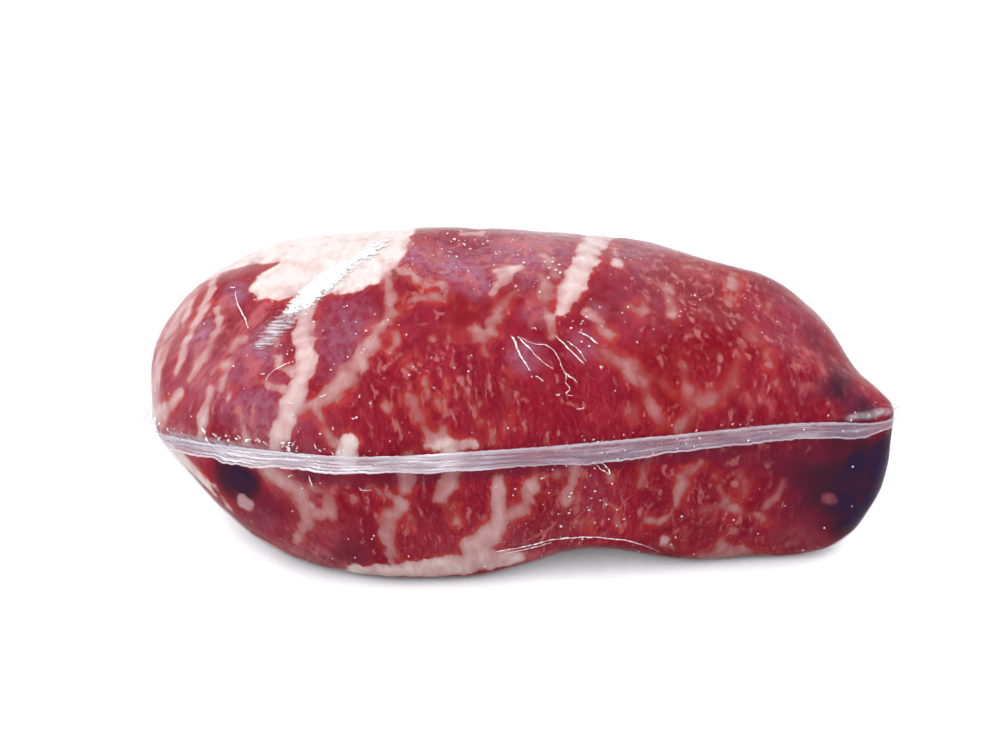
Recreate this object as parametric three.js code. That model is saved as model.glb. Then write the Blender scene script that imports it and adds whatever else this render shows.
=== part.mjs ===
// A thick-cut raw beef steak, shrink-wrapped in clear film.
// Units are millimetres, +Z is up and -Y is the front. The steak lies on its flat underside,
// and the origin is below its middle, on the plane it rests on.
//
// Two pieces: the steak itself, out to the tight film on it, and the fin where the two
// sheets of film are welded together, which runs all the way round at mid height.

import * as THREE from 'three';
import { mergeVertices } from 'three/addons/utils/BufferGeometryUtils.js';

// ---- driving dimensions ------------------------------------------------------------

const LENGTH = 165; // end to end, at the weld line
const DEPTH = 92; // front to back, at the weld line
const THICKNESS = 56; // from the table to the crown

// The weld line seen from above, as shares of half the length and half the depth.
// It starts at the right tip and goes round by the back.
const WELD_OUTLINE = [
  [0.948, -0.54],
  [0.885, -0.16],
  [0.76, 0.36],
  [0.48, 0.85],
  [0.0, 1.0],
  [-0.46, 1.02],
  [-0.86, 0.84],
  [-1.03, 0.36],
  [-1.03, -0.24],
  [-0.87, -0.7],
  [-0.52, -0.96],
  [-0.1, -0.95],
  [0.3, -0.87],
  [0.68, -0.76],
  [0.88, -0.7],
];

const WELD_HEIGHT = 38.3; // of the weld line at mid length
const WELD_RISE = 2.5; // how much higher it runs towards the right end
const WELD_DROP = { left: 6, right: 4.4 }; // how far it comes down at the two tips
const WELD_LEAN = { drop: 11, from: -0.85, to: 0.45 }; // lower at the back, by shares of half the depth

// How square each side's profile is above and below the weld line: 2 is an ellipse.
const CROWN_FULLNESS = { right: 2.3, back: 3.1, left: 4.4, front: 2.2 };
const CROWN_TOP_FULLNESS = 2.6; // shared by all sides where they meet
const FLANK_FULLNESS = { right: 3.0, back: 2.2, left: 1.2, front: 2.3 };

// How far each side draws in between the weld line and the edge of the flat underside.
const FOOT_INSET = { right: 24, back: 18, left: 25, front: 10 };

// The crown is highest behind the middle and comes down towards both ends.
const CROWN_PEAK = { x: -18, y: 8 };
const CROWN_FALL = { left: 4, right: 6, front: 3, back: 0 };
const CROWN_FALL_POWER = { along: 3, across: 2 }; // the ends stay level for longer than the sides

// The hollow under the front edge, where the film bridges a gap in the meat.
const HOLLOW = { x: 12, width: 54, height: 6, reach: 26, fade: 15 };

// Soft lumps and dips that the muscles make under the film.
const LUMPS = [
  { x: -62, y: 6, z: 44, radius: 20, height: 1.6 },
  { x: -38, y: -14, z: 54, radius: 11, height: -1.4 },
  { x: -14, y: -30, z: 48, radius: 22, height: 1.0 },
  { x: 20, y: 26, z: 52, radius: 16, height: -1.6 },
  { x: 42, y: -22, z: 42, radius: 20, height: 1.2 },
  { x: -36, y: 38, z: 34, radius: 20, height: -1.4 },
  { x: 30, y: 44, z: 24, radius: 18, height: 1.6 },
  { x: 60, y: -30, z: 18, radius: 16, height: 0.8 },
  { x: 60, y: 10, z: 44, radius: 30, height: 5.0 },
];

// Fine unevenness all over: waves that run in several directions, each of its own length.
const SWELL = { waves: 7, shortest: 13, step: 2.6, height: 0.16 };

// The relief starts this far from the table and from the weld line, and is full further on.
const TABLE_FADE = { start: 2, length: 12 };
const WELD_FADE = { start: 1, length: 8 };

// The fin of welded film.
const FIN_WIDTH = { right: 2.2, back: 3.4, left: 2.2, front: 4.4 };
const FIN_TAPER = { from: 60, to: 76, share: 0.45 }; // it is trimmed closer towards the right tip
const FIN_THICKNESS = 0.8; // where it leaves the steak
const FIN_EDGE = 0.5; // at its trimmed edge
const FIN_DROOP = THREE.MathUtils.degToRad(24);
const FIN_CLEARANCE = 0.35; // between the fin and the steak
const FIN_RIPPLE = { width: 0.25, waves: 17, drift: 3 }; // the trimmed edge isn't quite even
const FIN_SWAY = { angle: THREE.MathUtils.degToRad(8), waves: 5 }; // it droops more here, less there

// Mesh density.
const AROUND = 96;
const CROWN_RINGS = 17;
const FLANK_RINGS = 11;
const FOOT_RINGS = 5;
const FIN_STATIONS = 192;

// ---- small helpers ------------------------------------------------------------------

const smooth = (t) => {
  const c = THREE.MathUtils.clamp(t, 0, 1);
  return c * c * (3 - 2 * c);
};

// A value given for the four sides, blended by direction: (dx, dy) is a unit vector.
function bySide(sides, dx, dy) {
  const right = Math.max(dx, 0) ** 2;
  const left = Math.max(-dx, 0) ** 2;
  const back = Math.max(dy, 0) ** 2;
  const front = Math.max(-dy, 0) ** 2;
  return sides.right * right + sides.left * left + sides.back * back + sides.front * front;
}

function geometryOf(points, faces) {
  const geometry = new THREE.BufferGeometry();
  const numbers = points.flatMap((p) => [p.x, p.y, p.z]);
  geometry.setAttribute('position', new THREE.Float32BufferAttribute(numbers, 3));
  geometry.setIndex(faces);
  return geometry;
}

// ---- the weld line ------------------------------------------------------------------

const weldPlan = new THREE.CatmullRomCurve3(
  WELD_OUTLINE.map(([x, y]) => new THREE.Vector3((x * LENGTH) / 2, (y * DEPTH) / 2, 0)),
  true,
  'centripetal',
);

function weldHeight(x, y) {
  const along = x / (LENGTH / 2);
  const drop = (x < 0 ? WELD_DROP.left : WELD_DROP.right) * Math.abs(along) ** 6;
  const back = y / (DEPTH / 2);
  const lean = WELD_LEAN.drop * smooth((back - WELD_LEAN.from) / (WELD_LEAN.to - WELD_LEAN.from));
  return WELD_HEIGHT + WELD_RISE * along - drop - lean;
}

// One place on the weld line, at share u of the way round.
function weldPoint(u) {
  const p = weldPlan.getPointAt(u % 1);
  const along = weldPlan.getTangentAt(u % 1);
  return {
    x: p.x,
    y: p.y,
    z: weldHeight(p.x, p.y),
    outward: new THREE.Vector3(along.y, -along.x, 0).normalize(),
  };
}

// ---- the steak ----------------------------------------------------------------------

// The height of the crown before any relief.
function crownHeight(x, y) {
  const dx = (x - CROWN_PEAK.x) / (LENGTH / 2);
  const dy = (y - CROWN_PEAK.y) / (DEPTH / 2);
  const alongFall = (dx < 0 ? CROWN_FALL.left : CROWN_FALL.right)
    * Math.abs(dx) ** CROWN_FALL_POWER.along;
  const acrossFall = (dy < 0 ? CROWN_FALL.front : CROWN_FALL.back)
    * Math.abs(dy) ** CROWN_FALL_POWER.across;
  return THICKNESS - alongFall - acrossFall;
}

// A ring above the weld line: rise is 0 at the weld line and 1 at the crown.
function crownPoint(weld, rise) {
  const angle = (rise * Math.PI) / 2;
  const away = new THREE.Vector2(weld.x / LENGTH, weld.y / DEPTH).normalize();
  const side = bySide(CROWN_FULLNESS, away.x, away.y);
  const power = 2 / THREE.MathUtils.lerp(side, CROWN_TOP_FULLNESS, smooth(rise));
  const out = Math.max(Math.cos(angle), 0) ** power;
  const up = Math.sin(angle) ** power;
  const x = weld.x * out;
  const y = weld.y * out;
  return new THREE.Vector3(x, y, weld.z + (crownHeight(x, y) - weld.z) * up);
}

// Where a side meets the table, seen from above.
function footPoint(weld) {
  const away = new THREE.Vector2(weld.x / LENGTH, weld.y / DEPTH).normalize();
  const inset = bySide(FOOT_INSET, away.x, away.y);
  const reach = Math.hypot(weld.x, weld.y);
  return new THREE.Vector2(weld.x, weld.y).multiplyScalar((reach - inset) / reach);
}

// A ring below the weld line: fall is 0 at the weld line and 1 on the table.
function flankPoint(weld, fall) {
  const angle = (fall * Math.PI) / 2;
  const away = new THREE.Vector2(weld.x / LENGTH, weld.y / DEPTH).normalize();
  const power = 2 / bySide(FLANK_FULLNESS, away.x, away.y);
  const out = Math.max(Math.cos(angle), 0) ** power;
  const down = Math.sin(angle) ** power;
  const foot = footPoint(weld);
  return new THREE.Vector3(
    foot.x + (weld.x - foot.x) * out,
    foot.y + (weld.y - foot.y) * out,
    weld.z * (1 - down),
  );
}

// Raises the underside into the hollow at the front edge.
function liftedByHollow(p) {
  const across = smooth(1 - Math.abs(p.x - HOLLOW.x) / (HOLLOW.width / 2));
  const inward = smooth((-p.y - (DEPTH / 2 - HOLLOW.reach - FOOT_INSET.front)) / HOLLOW.reach);
  const low = smooth(1 - p.z / HOLLOW.fade);
  p.z += HOLLOW.height * across * inward * low;
  return p;
}

// The sum of the fine waves at a place, their directions spread evenly over a half sphere.
function swell(p) {
  const goldenAngle = Math.PI * (3 - Math.sqrt(5));
  let sum = 0;
  for (let i = 0; i < SWELL.waves; i += 1) {
    const tilt = Math.acos(1 - (i + 0.5) / SWELL.waves);
    const turn = i * goldenAngle;
    const along = p.x * Math.sin(tilt) * Math.cos(turn)
      + p.y * Math.sin(tilt) * Math.sin(turn)
      + p.z * Math.cos(tilt);
    sum += Math.sin((2 * Math.PI * along) / (SWELL.shortest + SWELL.step * i) + i);
  }
  return sum;
}

// How far the surface stands out or in at a place, in millimetres.
function relief(p) {
  let height = 0;
  for (const lump of LUMPS) {
    const away = Math.hypot(p.x - lump.x, p.y - lump.y, p.z - lump.z);
    height += lump.height * smooth(1 - away / lump.radius);
  }
  return height + SWELL.height * swell(p);
}

function steakGeometry() {
  const positions = [];
  const rings = [];
  const addRing = (pointAt) => {
    const ring = [];
    for (let i = 0; i < AROUND; i += 1) {
      const p = pointAt(weldPoint(i / AROUND));
      ring.push(positions.push(p) - 1);
    }
    rings.push(ring);
  };

  // Underside from its middle outwards, then up the flank, then over the crown.
  for (let r = 1; r < FOOT_RINGS; r += 1) {
    const share = r / FOOT_RINGS;
    addRing((weld) => {
      const foot = footPoint(weld).multiplyScalar(share);
      return liftedByHollow(new THREE.Vector3(foot.x, foot.y, 0));
    });
  }
  for (let r = FLANK_RINGS; r > 0; r -= 1) {
    addRing((weld) => liftedByHollow(flankPoint(weld, r / FLANK_RINGS)));
  }
  for (let r = 0; r < CROWN_RINGS; r += 1) {
    addRing((weld) => crownPoint(weld, r / CROWN_RINGS));
  }
  const bottom = positions.push(new THREE.Vector3(0, 0, 0)) - 1;
  const top = positions.push(new THREE.Vector3(0, 0, crownHeight(0, 0))) - 1;

  const faces = [];
  for (let i = 0; i < AROUND; i += 1) {
    const next = (i + 1) % AROUND;
    faces.push(bottom, rings[0][next], rings[0][i]);
    for (let r = 0; r + 1 < rings.length; r += 1) {
      const [a, b] = [rings[r][i], rings[r][next]];
      const [c, d] = [rings[r + 1][i], rings[r + 1][next]];
      faces.push(a, b, d, a, d, c);
    }
    const last = rings[rings.length - 1];
    faces.push(top, last[i], last[next]);
  }

  // The relief moves each point along the smooth surface's own normal, and fades out
  // where the steak meets the table and at the weld line, where the fin fits round it.
  const plain = geometryOf(positions, faces);
  plain.computeVertexNormals();
  const normals = plain.getAttribute('normal');
  const places = plain.getAttribute('position');
  positions.forEach((p, i) => {
    const normal = new THREE.Vector3().fromBufferAttribute(normals, i);
    const offWeld = Math.abs(p.z - weldHeight(p.x, p.y));
    const share = smooth((p.z - TABLE_FADE.start) / TABLE_FADE.length)
      * smooth((offWeld - WELD_FADE.start) / WELD_FADE.length);
    const moved = p.clone().addScaledVector(normal, relief(p) * share);
    places.setXYZ(i, moved.x, moved.y, moved.z);
  });
  plain.deleteAttribute('normal');
  return mergeVertices(plain, 1e-4);
}

// ---- the fin of welded film -----------------------------------------------------------

// The fin's section at share u: a thin blade from the weld line outwards, drooping.
function finSection(u) {
  const weld = weldPoint(u);
  const turn = u * 2 * Math.PI;
  const drift = 2 * Math.sin(turn * FIN_RIPPLE.drift);
  const ripple = FIN_RIPPLE.width * Math.sin(turn * FIN_RIPPLE.waves + drift);
  const taper = FIN_TAPER.share * smooth((weld.x - FIN_TAPER.from) / (FIN_TAPER.to - FIN_TAPER.from));
  const width = bySide(FIN_WIDTH, weld.outward.x, weld.outward.y) * (1 - taper) + ripple;
  const droop = FIN_DROOP + FIN_SWAY.angle * Math.sin(turn * FIN_SWAY.waves + 1);
  const blade = weld.outward.clone().multiplyScalar(Math.cos(droop));
  blade.z = -Math.sin(droop);
  const across = weld.outward.clone().multiplyScalar(Math.sin(droop));
  across.z = Math.cos(droop);
  const root = new THREE.Vector3(weld.x, weld.y, weld.z).addScaledVector(weld.outward, FIN_CLEARANCE);
  const at = (out, side) => root.clone()
    .addScaledVector(blade, out * width)
    .addScaledVector(across, side);
  return [
    at(0, FIN_THICKNESS / 2),
    at(0.5, FIN_THICKNESS / 2),
    at(1, FIN_EDGE / 2),
    at(1, -FIN_EDGE / 2),
    at(0.5, -FIN_THICKNESS / 2),
    at(0, -FIN_THICKNESS / 2),
  ];
}

function finGeometry() {
  const sections = Array.from({ length: FIN_STATIONS }, (_, i) => finSection(i / FIN_STATIONS));
  const sides = sections[0].length;
  const faces = [];
  for (let i = 0; i < FIN_STATIONS; i += 1) {
    const next = (i + 1) % FIN_STATIONS;
    for (let k = 0; k < sides; k += 1) {
      const up = (k + 1) % sides;
      const [a, b] = [i * sides + k, i * sides + up];
      const [c, d] = [next * sides + k, next * sides + up];
      faces.push(a, b, d, a, d, c);
    }
  }
  return geometryOf(sections.flat(), faces);
}

// ---- the model ------------------------------------------------------------------------

const beef = new THREE.MeshStandardMaterial({ color: 0xa53440, roughness: 0.32, metalness: 0 });
const film = new THREE.MeshStandardMaterial({
  color: 0xd9c3cc, roughness: 0.2, metalness: 0, transparent: true, opacity: 0.55,
});

const steak = new THREE.Mesh(steakGeometry(), beef);
steak.name = 'steak';

const filmSeam = new THREE.Mesh(finGeometry(), film);
filmSeam.name = 'film_seam';

const pack = new THREE.Group();
pack.add(steak, filmSeam);

// Puts the origin under the middle of the whole piece.
const bounds = new THREE.Box3().setFromObject(pack);
const middle = bounds.getCenter(new THREE.Vector3());
pack.position.set(-middle.x, -middle.y, -bounds.min.z);

const model = new THREE.Group();
model.add(pack);

export default model;
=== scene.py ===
"""A thick, heavily marbled beef steak in tight clear shrink film.

The steak lies on its flat underside, its best side to the front. Two things are seen: the meat, with
its bands of fat, its marbling and the dark end that no air has reached, deepened by painted shade, and
the film drawn tight round it, whose weld stands out as a narrow crimped fin half way up the side.
"""

import math
import random

import bmesh
import bpy
import numpy as np
from mathutils import Matrix, Vector, noise
from mathutils.bvhtree import BVHTree


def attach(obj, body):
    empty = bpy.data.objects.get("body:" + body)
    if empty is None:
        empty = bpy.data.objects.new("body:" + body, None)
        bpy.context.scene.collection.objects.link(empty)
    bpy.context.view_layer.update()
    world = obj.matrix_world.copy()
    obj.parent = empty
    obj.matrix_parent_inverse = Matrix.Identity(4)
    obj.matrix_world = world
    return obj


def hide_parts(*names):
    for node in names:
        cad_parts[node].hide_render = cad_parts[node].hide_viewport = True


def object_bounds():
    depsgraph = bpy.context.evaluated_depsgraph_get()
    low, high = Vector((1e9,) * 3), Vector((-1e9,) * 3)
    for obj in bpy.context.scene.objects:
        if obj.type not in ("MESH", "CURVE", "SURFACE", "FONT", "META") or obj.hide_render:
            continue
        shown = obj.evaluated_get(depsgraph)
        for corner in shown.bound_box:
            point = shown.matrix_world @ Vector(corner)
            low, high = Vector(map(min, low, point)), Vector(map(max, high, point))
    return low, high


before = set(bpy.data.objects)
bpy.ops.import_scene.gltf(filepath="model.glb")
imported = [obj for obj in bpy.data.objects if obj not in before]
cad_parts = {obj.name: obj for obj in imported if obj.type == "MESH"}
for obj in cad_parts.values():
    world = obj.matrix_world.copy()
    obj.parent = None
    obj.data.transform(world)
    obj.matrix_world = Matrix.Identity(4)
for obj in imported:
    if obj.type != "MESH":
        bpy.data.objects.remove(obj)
cad_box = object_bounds()

MM = 0.001

# ---- the picture ---------------------------------------------------------------------
# Places on the meat are given as (u, v) in a picture 1000 units wide and 750 high, seen by
# the camera, and are laid on the surface behind them. Radii are in the same units.

PICTURE_WIDTH, PICTURE_HEIGHT = 1000, 750
PICTURE_SCALE = 4.41  # picture units to a millimetre, at the point the camera aims at
VIEW_ELEVATION = math.radians(30)
VIEW_DISTANCE = 520 * MM
VIEW_AIM = Vector((-2.8, 0, 30.4)) * MM
SENSOR_WIDTH = 36  # millimetres

# ---- the fat: how white each band is, and (u, v, half width) along it ---------------------

FAT_BANDS = {
    # the thick shoulder of fat at the upper left
    "shoulder": (1.25, [(260, 286, 11), (285, 277, 24), (312, 267, 29), (340, 264, 35), (366, 258, 33),
        (386, 246, 20), (402, 230, 11)]),
    "shoulder rim": (1.2, [(203, 276, 5), (222, 267, 7), (242, 259, 9), (262, 253, 11), (285, 247, 10)]),
    "shoulder back": (1.25, [(266, 258, 7), (278, 254, 11), (298, 248, 13), (322, 242, 13), (350, 236, 13),
        (378, 229, 11)]),
    "shoulder far": (1.25, [(256, 244, 9), (272, 238, 13), (296, 231, 16), (324, 226, 17), (352, 222, 17),
        (380, 219, 15), (400, 219, 9)]),
    # the two bands that leave it, and what hangs on them
    "trunk": (0.92, [(306, 300, 11), (305, 323, 9), (305, 341, 9), (306, 360, 9), (301, 378, 7.4),
        (297, 392, 8.5), (291, 405, 10), (283, 425, 10), (277, 445, 7), (268, 462, 5)]),
    "trunk twig": (0.55, [(316, 402, 4), (321, 416, 3.4), (327, 430, 3.4), (333, 444, 4)]),
    "trunk hook": (0.7, [(277, 338, 2.2), (273, 352, 2.6), (279, 365, 3), (292, 371, 4)]),
    "trunk dash": (0.62, [(264, 382, 2.6), (272, 384, 3.2), (282, 388, 2.6)]),
    "fork": (0.44, [(390, 262, 4), (387, 285, 4), (390, 300, 5.5), (388, 316, 7), (379, 328, 6.5),
        (369, 344, 8), (360, 358, 8.5), (349, 375, 9), (337, 388, 8), (318, 403, 7), (300, 410, 6)]),
    "fork dash": (0.42, [(395, 332, 3.4), (394, 341, 4), (391, 350, 2.4)]),
    # the ribbons of the left end
    "ribbon a": (0.8, [(214, 272, 5.4), (211, 284, 4.6), (205, 302, 4.6), (196, 318, 3.8), (185, 338, 4),
        (179, 356, 3.4), (174, 372, 2.4)]),
    "ribbon b": (0.7, [(217, 306, 2.2), (218, 327, 3.2), (209, 345, 4.6), (198, 360, 4.4),
        (189, 378, 3.2)]),
    "ribbon c": (0.55, [(176, 316, 3), (172, 330, 3.6), (164, 349, 4), (157, 368, 4), (155, 384, 3)]),
    "ribbon d": (0.85, [(190, 300, 3), (186, 312, 3.4), (181, 324, 2.4)]),
    "ribbon e": (0.78, [(210, 388, 3), (207, 400, 4.2), (202, 418, 4.4), (198, 436, 4.4)]),
    "ribbon f": (0.58, [(244, 334, 2), (236, 345, 2.8), (226, 364, 2.6), (220, 388, 2.4)]),
    "ribbon g": (0.7, [(229, 385, 1.8), (226, 397, 2)]),
    "ribbon h": (0.7, [(238, 405, 1.6), (241, 421, 2.2), (247, 440, 3.4)]),
    "left foot": (0.68, [(178, 393, 3), (170, 404, 4.4), (162, 411, 7), (152, 416, 10)]),
    "left rim": (0.6, [(154, 390, 6), (155, 372, 5), (158, 350, 5), (168, 327, 4.6), (181, 306, 4.6),
        (196, 289, 4)]),
    # the middle
    "discs": (0.56, [(391, 270, 4), (402, 269, 4), (414, 272, 4), (421, 281, 3.4), (433, 284, 3),
        (443, 280, 3), (446, 292, 3)]),
    "top streak": (0.45, [(533, 240, 2), (540, 248, 3.6), (547, 255, 4), (552, 264, 5), (555, 273, 5)]),
    "top dab": (0.8, [(463, 231, 3), (471, 232, 5), (479, 233, 3)]),
    "top vein": (0.25, [(411, 244, 2), (420, 241, 3), (430, 243, 3), (433, 253, 3.2), (440, 260, 2)]),
    "discs rim": (0.3, [(410, 300, 2.4), (418, 297, 3), (430, 296, 3), (444, 295, 3.6)]),
    "cross": (1.0, [(498, 268, 4), (508, 267, 5), (520, 264, 3.4)]),
    "cross stem": (0.65, [(504, 272, 7), (500, 280, 5.4), (493, 291, 3)]),
    "crook": (0.26, [(516, 288, 3), (508, 298, 4), (500, 307, 4.8), (494, 319, 5.2), (490, 332, 6),
        (480, 337, 7.4), (475, 328, 4.6)]),
    "crook drop": (0.5, [(483, 346, 3.4), (485, 353, 1.6)]),
    "post": (0.28, [(541, 274, 4), (545, 284, 8), (545, 302, 4.4), (548, 321, 3), (552, 334, 3.6)]),
    "main band": (0.97, [(604, 224, 12), (594, 241, 12), (586, 256, 12), (574, 279, 11.4), (567, 295, 9),
        (563, 307, 6)]),
    "tick": (0.45, [(586, 310, 3), (592, 315, 4), (601, 323, 4.6), (609, 335, 4.4)]),
    "tick top": (0.8, [(615, 243, 2), (616, 254, 2.6), (618, 263, 4)]),
    "thread": (-0.18, [(508, 372, 1.4), (508, 391, 1.6), (511, 411, 1.5), (506, 432, 1.2)]),
    # the right
    "river": (0.14, [(600, 350, 3), (608, 355, 6), (621, 361, 7.6), (634, 371, 8.4), (641, 380, 6),
        (646, 392, 4.6), (651, 407, 4.2), (659, 421, 5.6)]),
    "river twig": (-0.1, [(640, 372, 4), (656, 376, 2.6), (668, 386, 1.8), (675, 392, 1.2)]),
    "river pool": (0, [(632, 411, 5), (636, 416, 5.4)]),
    "wedge": (0.32, [(651, 279, 1.8), (660, 284, 3.4), (668, 288, 7), (670, 302, 5.6), (673, 317, 2.6)]),
    "pebble": (0.28, [(631, 305, 5), (640, 308, 7.6), (650, 310, 5)]),
    "rim dab": (0.2, [(688, 265, 4.4), (700, 268, 3.4)]),
    "blunt": (0.38, [(733, 278, 7), (731, 288, 6), (729, 300, 4.4)]),
    "bean": (0.1, [(752, 333, 5.4), (757, 336, 5)]),
    "seed": (0.38, [(769, 352, 3.4), (769, 363, 3.8)]),
    "antler": (0.05, [(681, 350, 2.6), (686, 368, 3.8), (688, 386, 5.6), (693, 398, 8), (703, 402, 8.4),
        (716, 396, 7.4), (728, 387, 5.4), (737, 372, 3.4), (740, 356, 2.8), (743, 345, 2)]),
    "antler core": (0.3, [(692, 396, 4), (700, 402, 6), (711, 401, 6.4), (722, 394, 5), (732, 384, 3)]),
    "antler stem": (0.15, [(694, 410, 6), (688, 418, 5.4), (682, 428, 5)]),
    # across and below the weld
    "crossing": (1.25, [(431, 447, 4), (438, 447, 5.6), (447, 445, 7.4), (449, 456, 7.4)]),
    "crossing right": (0.9, [(452, 446, 5.4), (462, 445, 4.6), (472, 444, 2.6)]),
    "crossing spike": (0.0, [(443, 429, 0.8), (444, 437, 1.8)]),
    "crossing tail": (0.3, [(409, 396, 3), (414, 402, 4.4), (420, 417, 3.6), (424, 430, 2.6),
        (431, 441, 4)]),
    "crossing back": (0.5, [(452, 462, 8), (452, 476, 7.6), (449, 488, 8), (441, 499, 6.4)]),
    "crossing prong": (0.28, [(408, 462, 7), (406, 478, 8), (402, 491, 4)]),
    "crossing dots": (0.45, [(455, 508, 3), (458, 521, 3)]),
    "knuckle": (1.25, [(347, 444, 9), (347, 462, 10)]),
    "under trunk": (0.39, [(262, 466, 7), (277, 479, 8), (295, 490, 8), (304, 508, 7), (306, 522, 6),
        (298, 539, 4), (292, 553, 3)]),
    "under trunk arm": (0.3, [(312, 489, 4), (324, 493, 4.4), (329, 505, 5.4), (333, 518, 3)]),
    "under trunk bar": (0.3, [(312, 517, 4.6), (322, 516, 4.4)]),
    "tooth": (0.38, [(371, 487, 3), (381, 493, 3.6), (391, 498, 5), (400, 507, 6), (389, 518, 8),
        (386, 531, 6), (388, 546, 5), (393, 562, 4)]),
    "slope": (0.62, [(499, 478, 4), (499, 492, 5.4), (499, 510, 6), (500, 524, 7), (489, 537, 11),
        (474, 550, 12)]),
    "slope side": (0.57, [(534, 478, 4), (530, 492, 6.4), (523, 508, 7.4), (509, 518, 8)]),
    "bottom rim": (0.92, [(352, 574, 4), (390, 574, 8), (440, 570, 11), (474, 564, 13), (500, 560, 10),
        (522, 560, 5)]),
    "column": (0.4, [(576, 468, 5), (573, 478, 3.6), (570, 489, 4), (569, 504, 5)]),
    "column arm": (0.1, [(557, 475, 3), (566, 474, 2.6), (574, 472, 3)]),
    "twig a": (0, [(651, 460, 3), (644, 467, 4.6), (640, 485, 2.4)]),
    "twig b": (0.3, [(700, 464, 3.4), (690, 470, 4), (683, 479, 4.8), (680, 493, 5), (677, 507, 3.2),
        (668, 519, 2.4), (660, 523, 3), (645, 523, 3)]),
    "twig c": (0.05, [(739, 476, 3), (745, 486, 4.6), (745, 495, 4)]),
    "twig d": (0.32, [(716, 480, 2), (722, 494, 4), (728, 504, 4), (740, 511, 3), (755, 517, 3),
        (772, 524, 2.4)]),
    "twig e": (0, [(704, 512, 3.8), (716, 509, 2.6), (726, 507, 3)]),
    "twig f": (0.1, [(786, 483, 3), (782, 489, 3.4), (776, 499, 2.8), (765, 509, 2)]),
    "dot": (0.05, [(827, 500, 4.6), (831, 500, 4.4)]),
    "keel": (0.3, [(722, 545, 5), (722, 555, 11), (735, 560, 10), (760, 562, 6)]),
    "keel side": (0.35, [(722, 557, 8), (704, 562, 7), (690, 564, 4)]),
    "keel dab": (1.0, [(666, 541, 5.4), (669, 546, 4)]),
    "keel thread": (0.06, [(684, 531, 3), (688, 541, 3), (686, 548, 3)]),
    "left pearl": (0.9, [(243, 501, 6), (248, 504, 6)]),
    "left keel": (1.2, [(170, 450, 6), (180, 460, 8), (191, 471, 8), (202, 483, 6), (212, 495, 4)]),
    "left keel side": (0.85, [(214, 488, 2.4), (221, 498, 2.6), (226, 508, 2)]),
}

# Single thick flecks in the middle, as (u, v, half width, half length).
LONE_FLECKS = [
    (417, 357, 2.3, 5.8), (406, 362, 1.7, 9.2), (424, 383, 2.4, 4.6), (447, 384, 1.7, 6.9),
    (387, 405, 3.6, 3.4), (409, 403, 2.9, 8), (419, 418, 3.9, 3.4), (478, 403, 3.2, 2.3),
    (481, 421, 2.2, 3.4), (434, 338, 2.2, 4.6), (449, 335, 1.4, 5.8), (462, 337, 1.3, 4.6),
    (467, 390, 2.2, 3.4), (439, 401, 2.2, 3.4), (580, 523, 2.6, 3.4), (591, 527, 2.2, 4.6),
    (617, 519, 2.2, 8), (612, 479, 2.4, 3.4), (732, 530, 1.7, 5.8), (352, 502, 2.4, 3.4),
    (410, 524, 2.4, 4.6), (768, 303, 2.4, 5.8), (778, 384, 1.9, 3.4), (490, 437, 2.2, 4.6),
    (470, 305, 1.4, 3.4),
]

# Fat that lies under a little lean and shows through it, as bands.
FAINT_BANDS = {
    "left streak": [(268, 302, 4), (256, 314, 6), (245, 328, 6), (236, 343, 5), (227, 360, 4),
        (220, 376, 3)],
    "under shoulder": [(222, 300, 6), (232, 306, 5)],
    "left haze": [(246, 352, 5), (254, 362, 7), (250, 376, 5)],
    "fork side": [(384, 268, 6), (383, 286, 5)],
    "right patch": [(746, 397, 5), (758, 400, 7), (772, 405, 5)],
    "right ring": [(800, 362, 5), (806, 350, 5), (818, 356, 4), (826, 370, 4), (818, 386, 5),
        (804, 386, 5)],
    "rim glow": [(640, 262, 4), (652, 268, 3)],
    "top net": [(500, 238, 4), (516, 240, 5), (524, 250, 5)],
    "haze patch": [(460, 272, 4), (468, 280, 6), (476, 288, 4)],
    "inner post": [(530, 296, 4), (534, 318, 5)],
    "lower left": [(330, 492, 5), (340, 482, 5)],
    "bottom blur": [(520, 560, 8), (548, 558, 5)],
}

# Islands of lean that stand inside the fat, as bands.
LEAN_ISLANDS = {
    "shoulder strip": [(218, 288, 2.6), (228, 281, 4), (242, 274, 4.4), (254, 268, 3), (263, 263, 1.6)],
    "trunk island": [(300, 417, 3.6), (309, 413, 4.4)],
    "trunk isle": [(301, 440, 8), (312, 434, 9)],
    "arm isle": [(309, 500, 5), (317, 504, 5.4)],
    "fork nibble": [(384, 336, 4), (383, 342, 4)],
    "crossing isle": [(428, 472, 6), (434, 476, 5)],
}

# ---- broad changes of tone, as (u, v, radius, strength) --------------------------------

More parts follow.
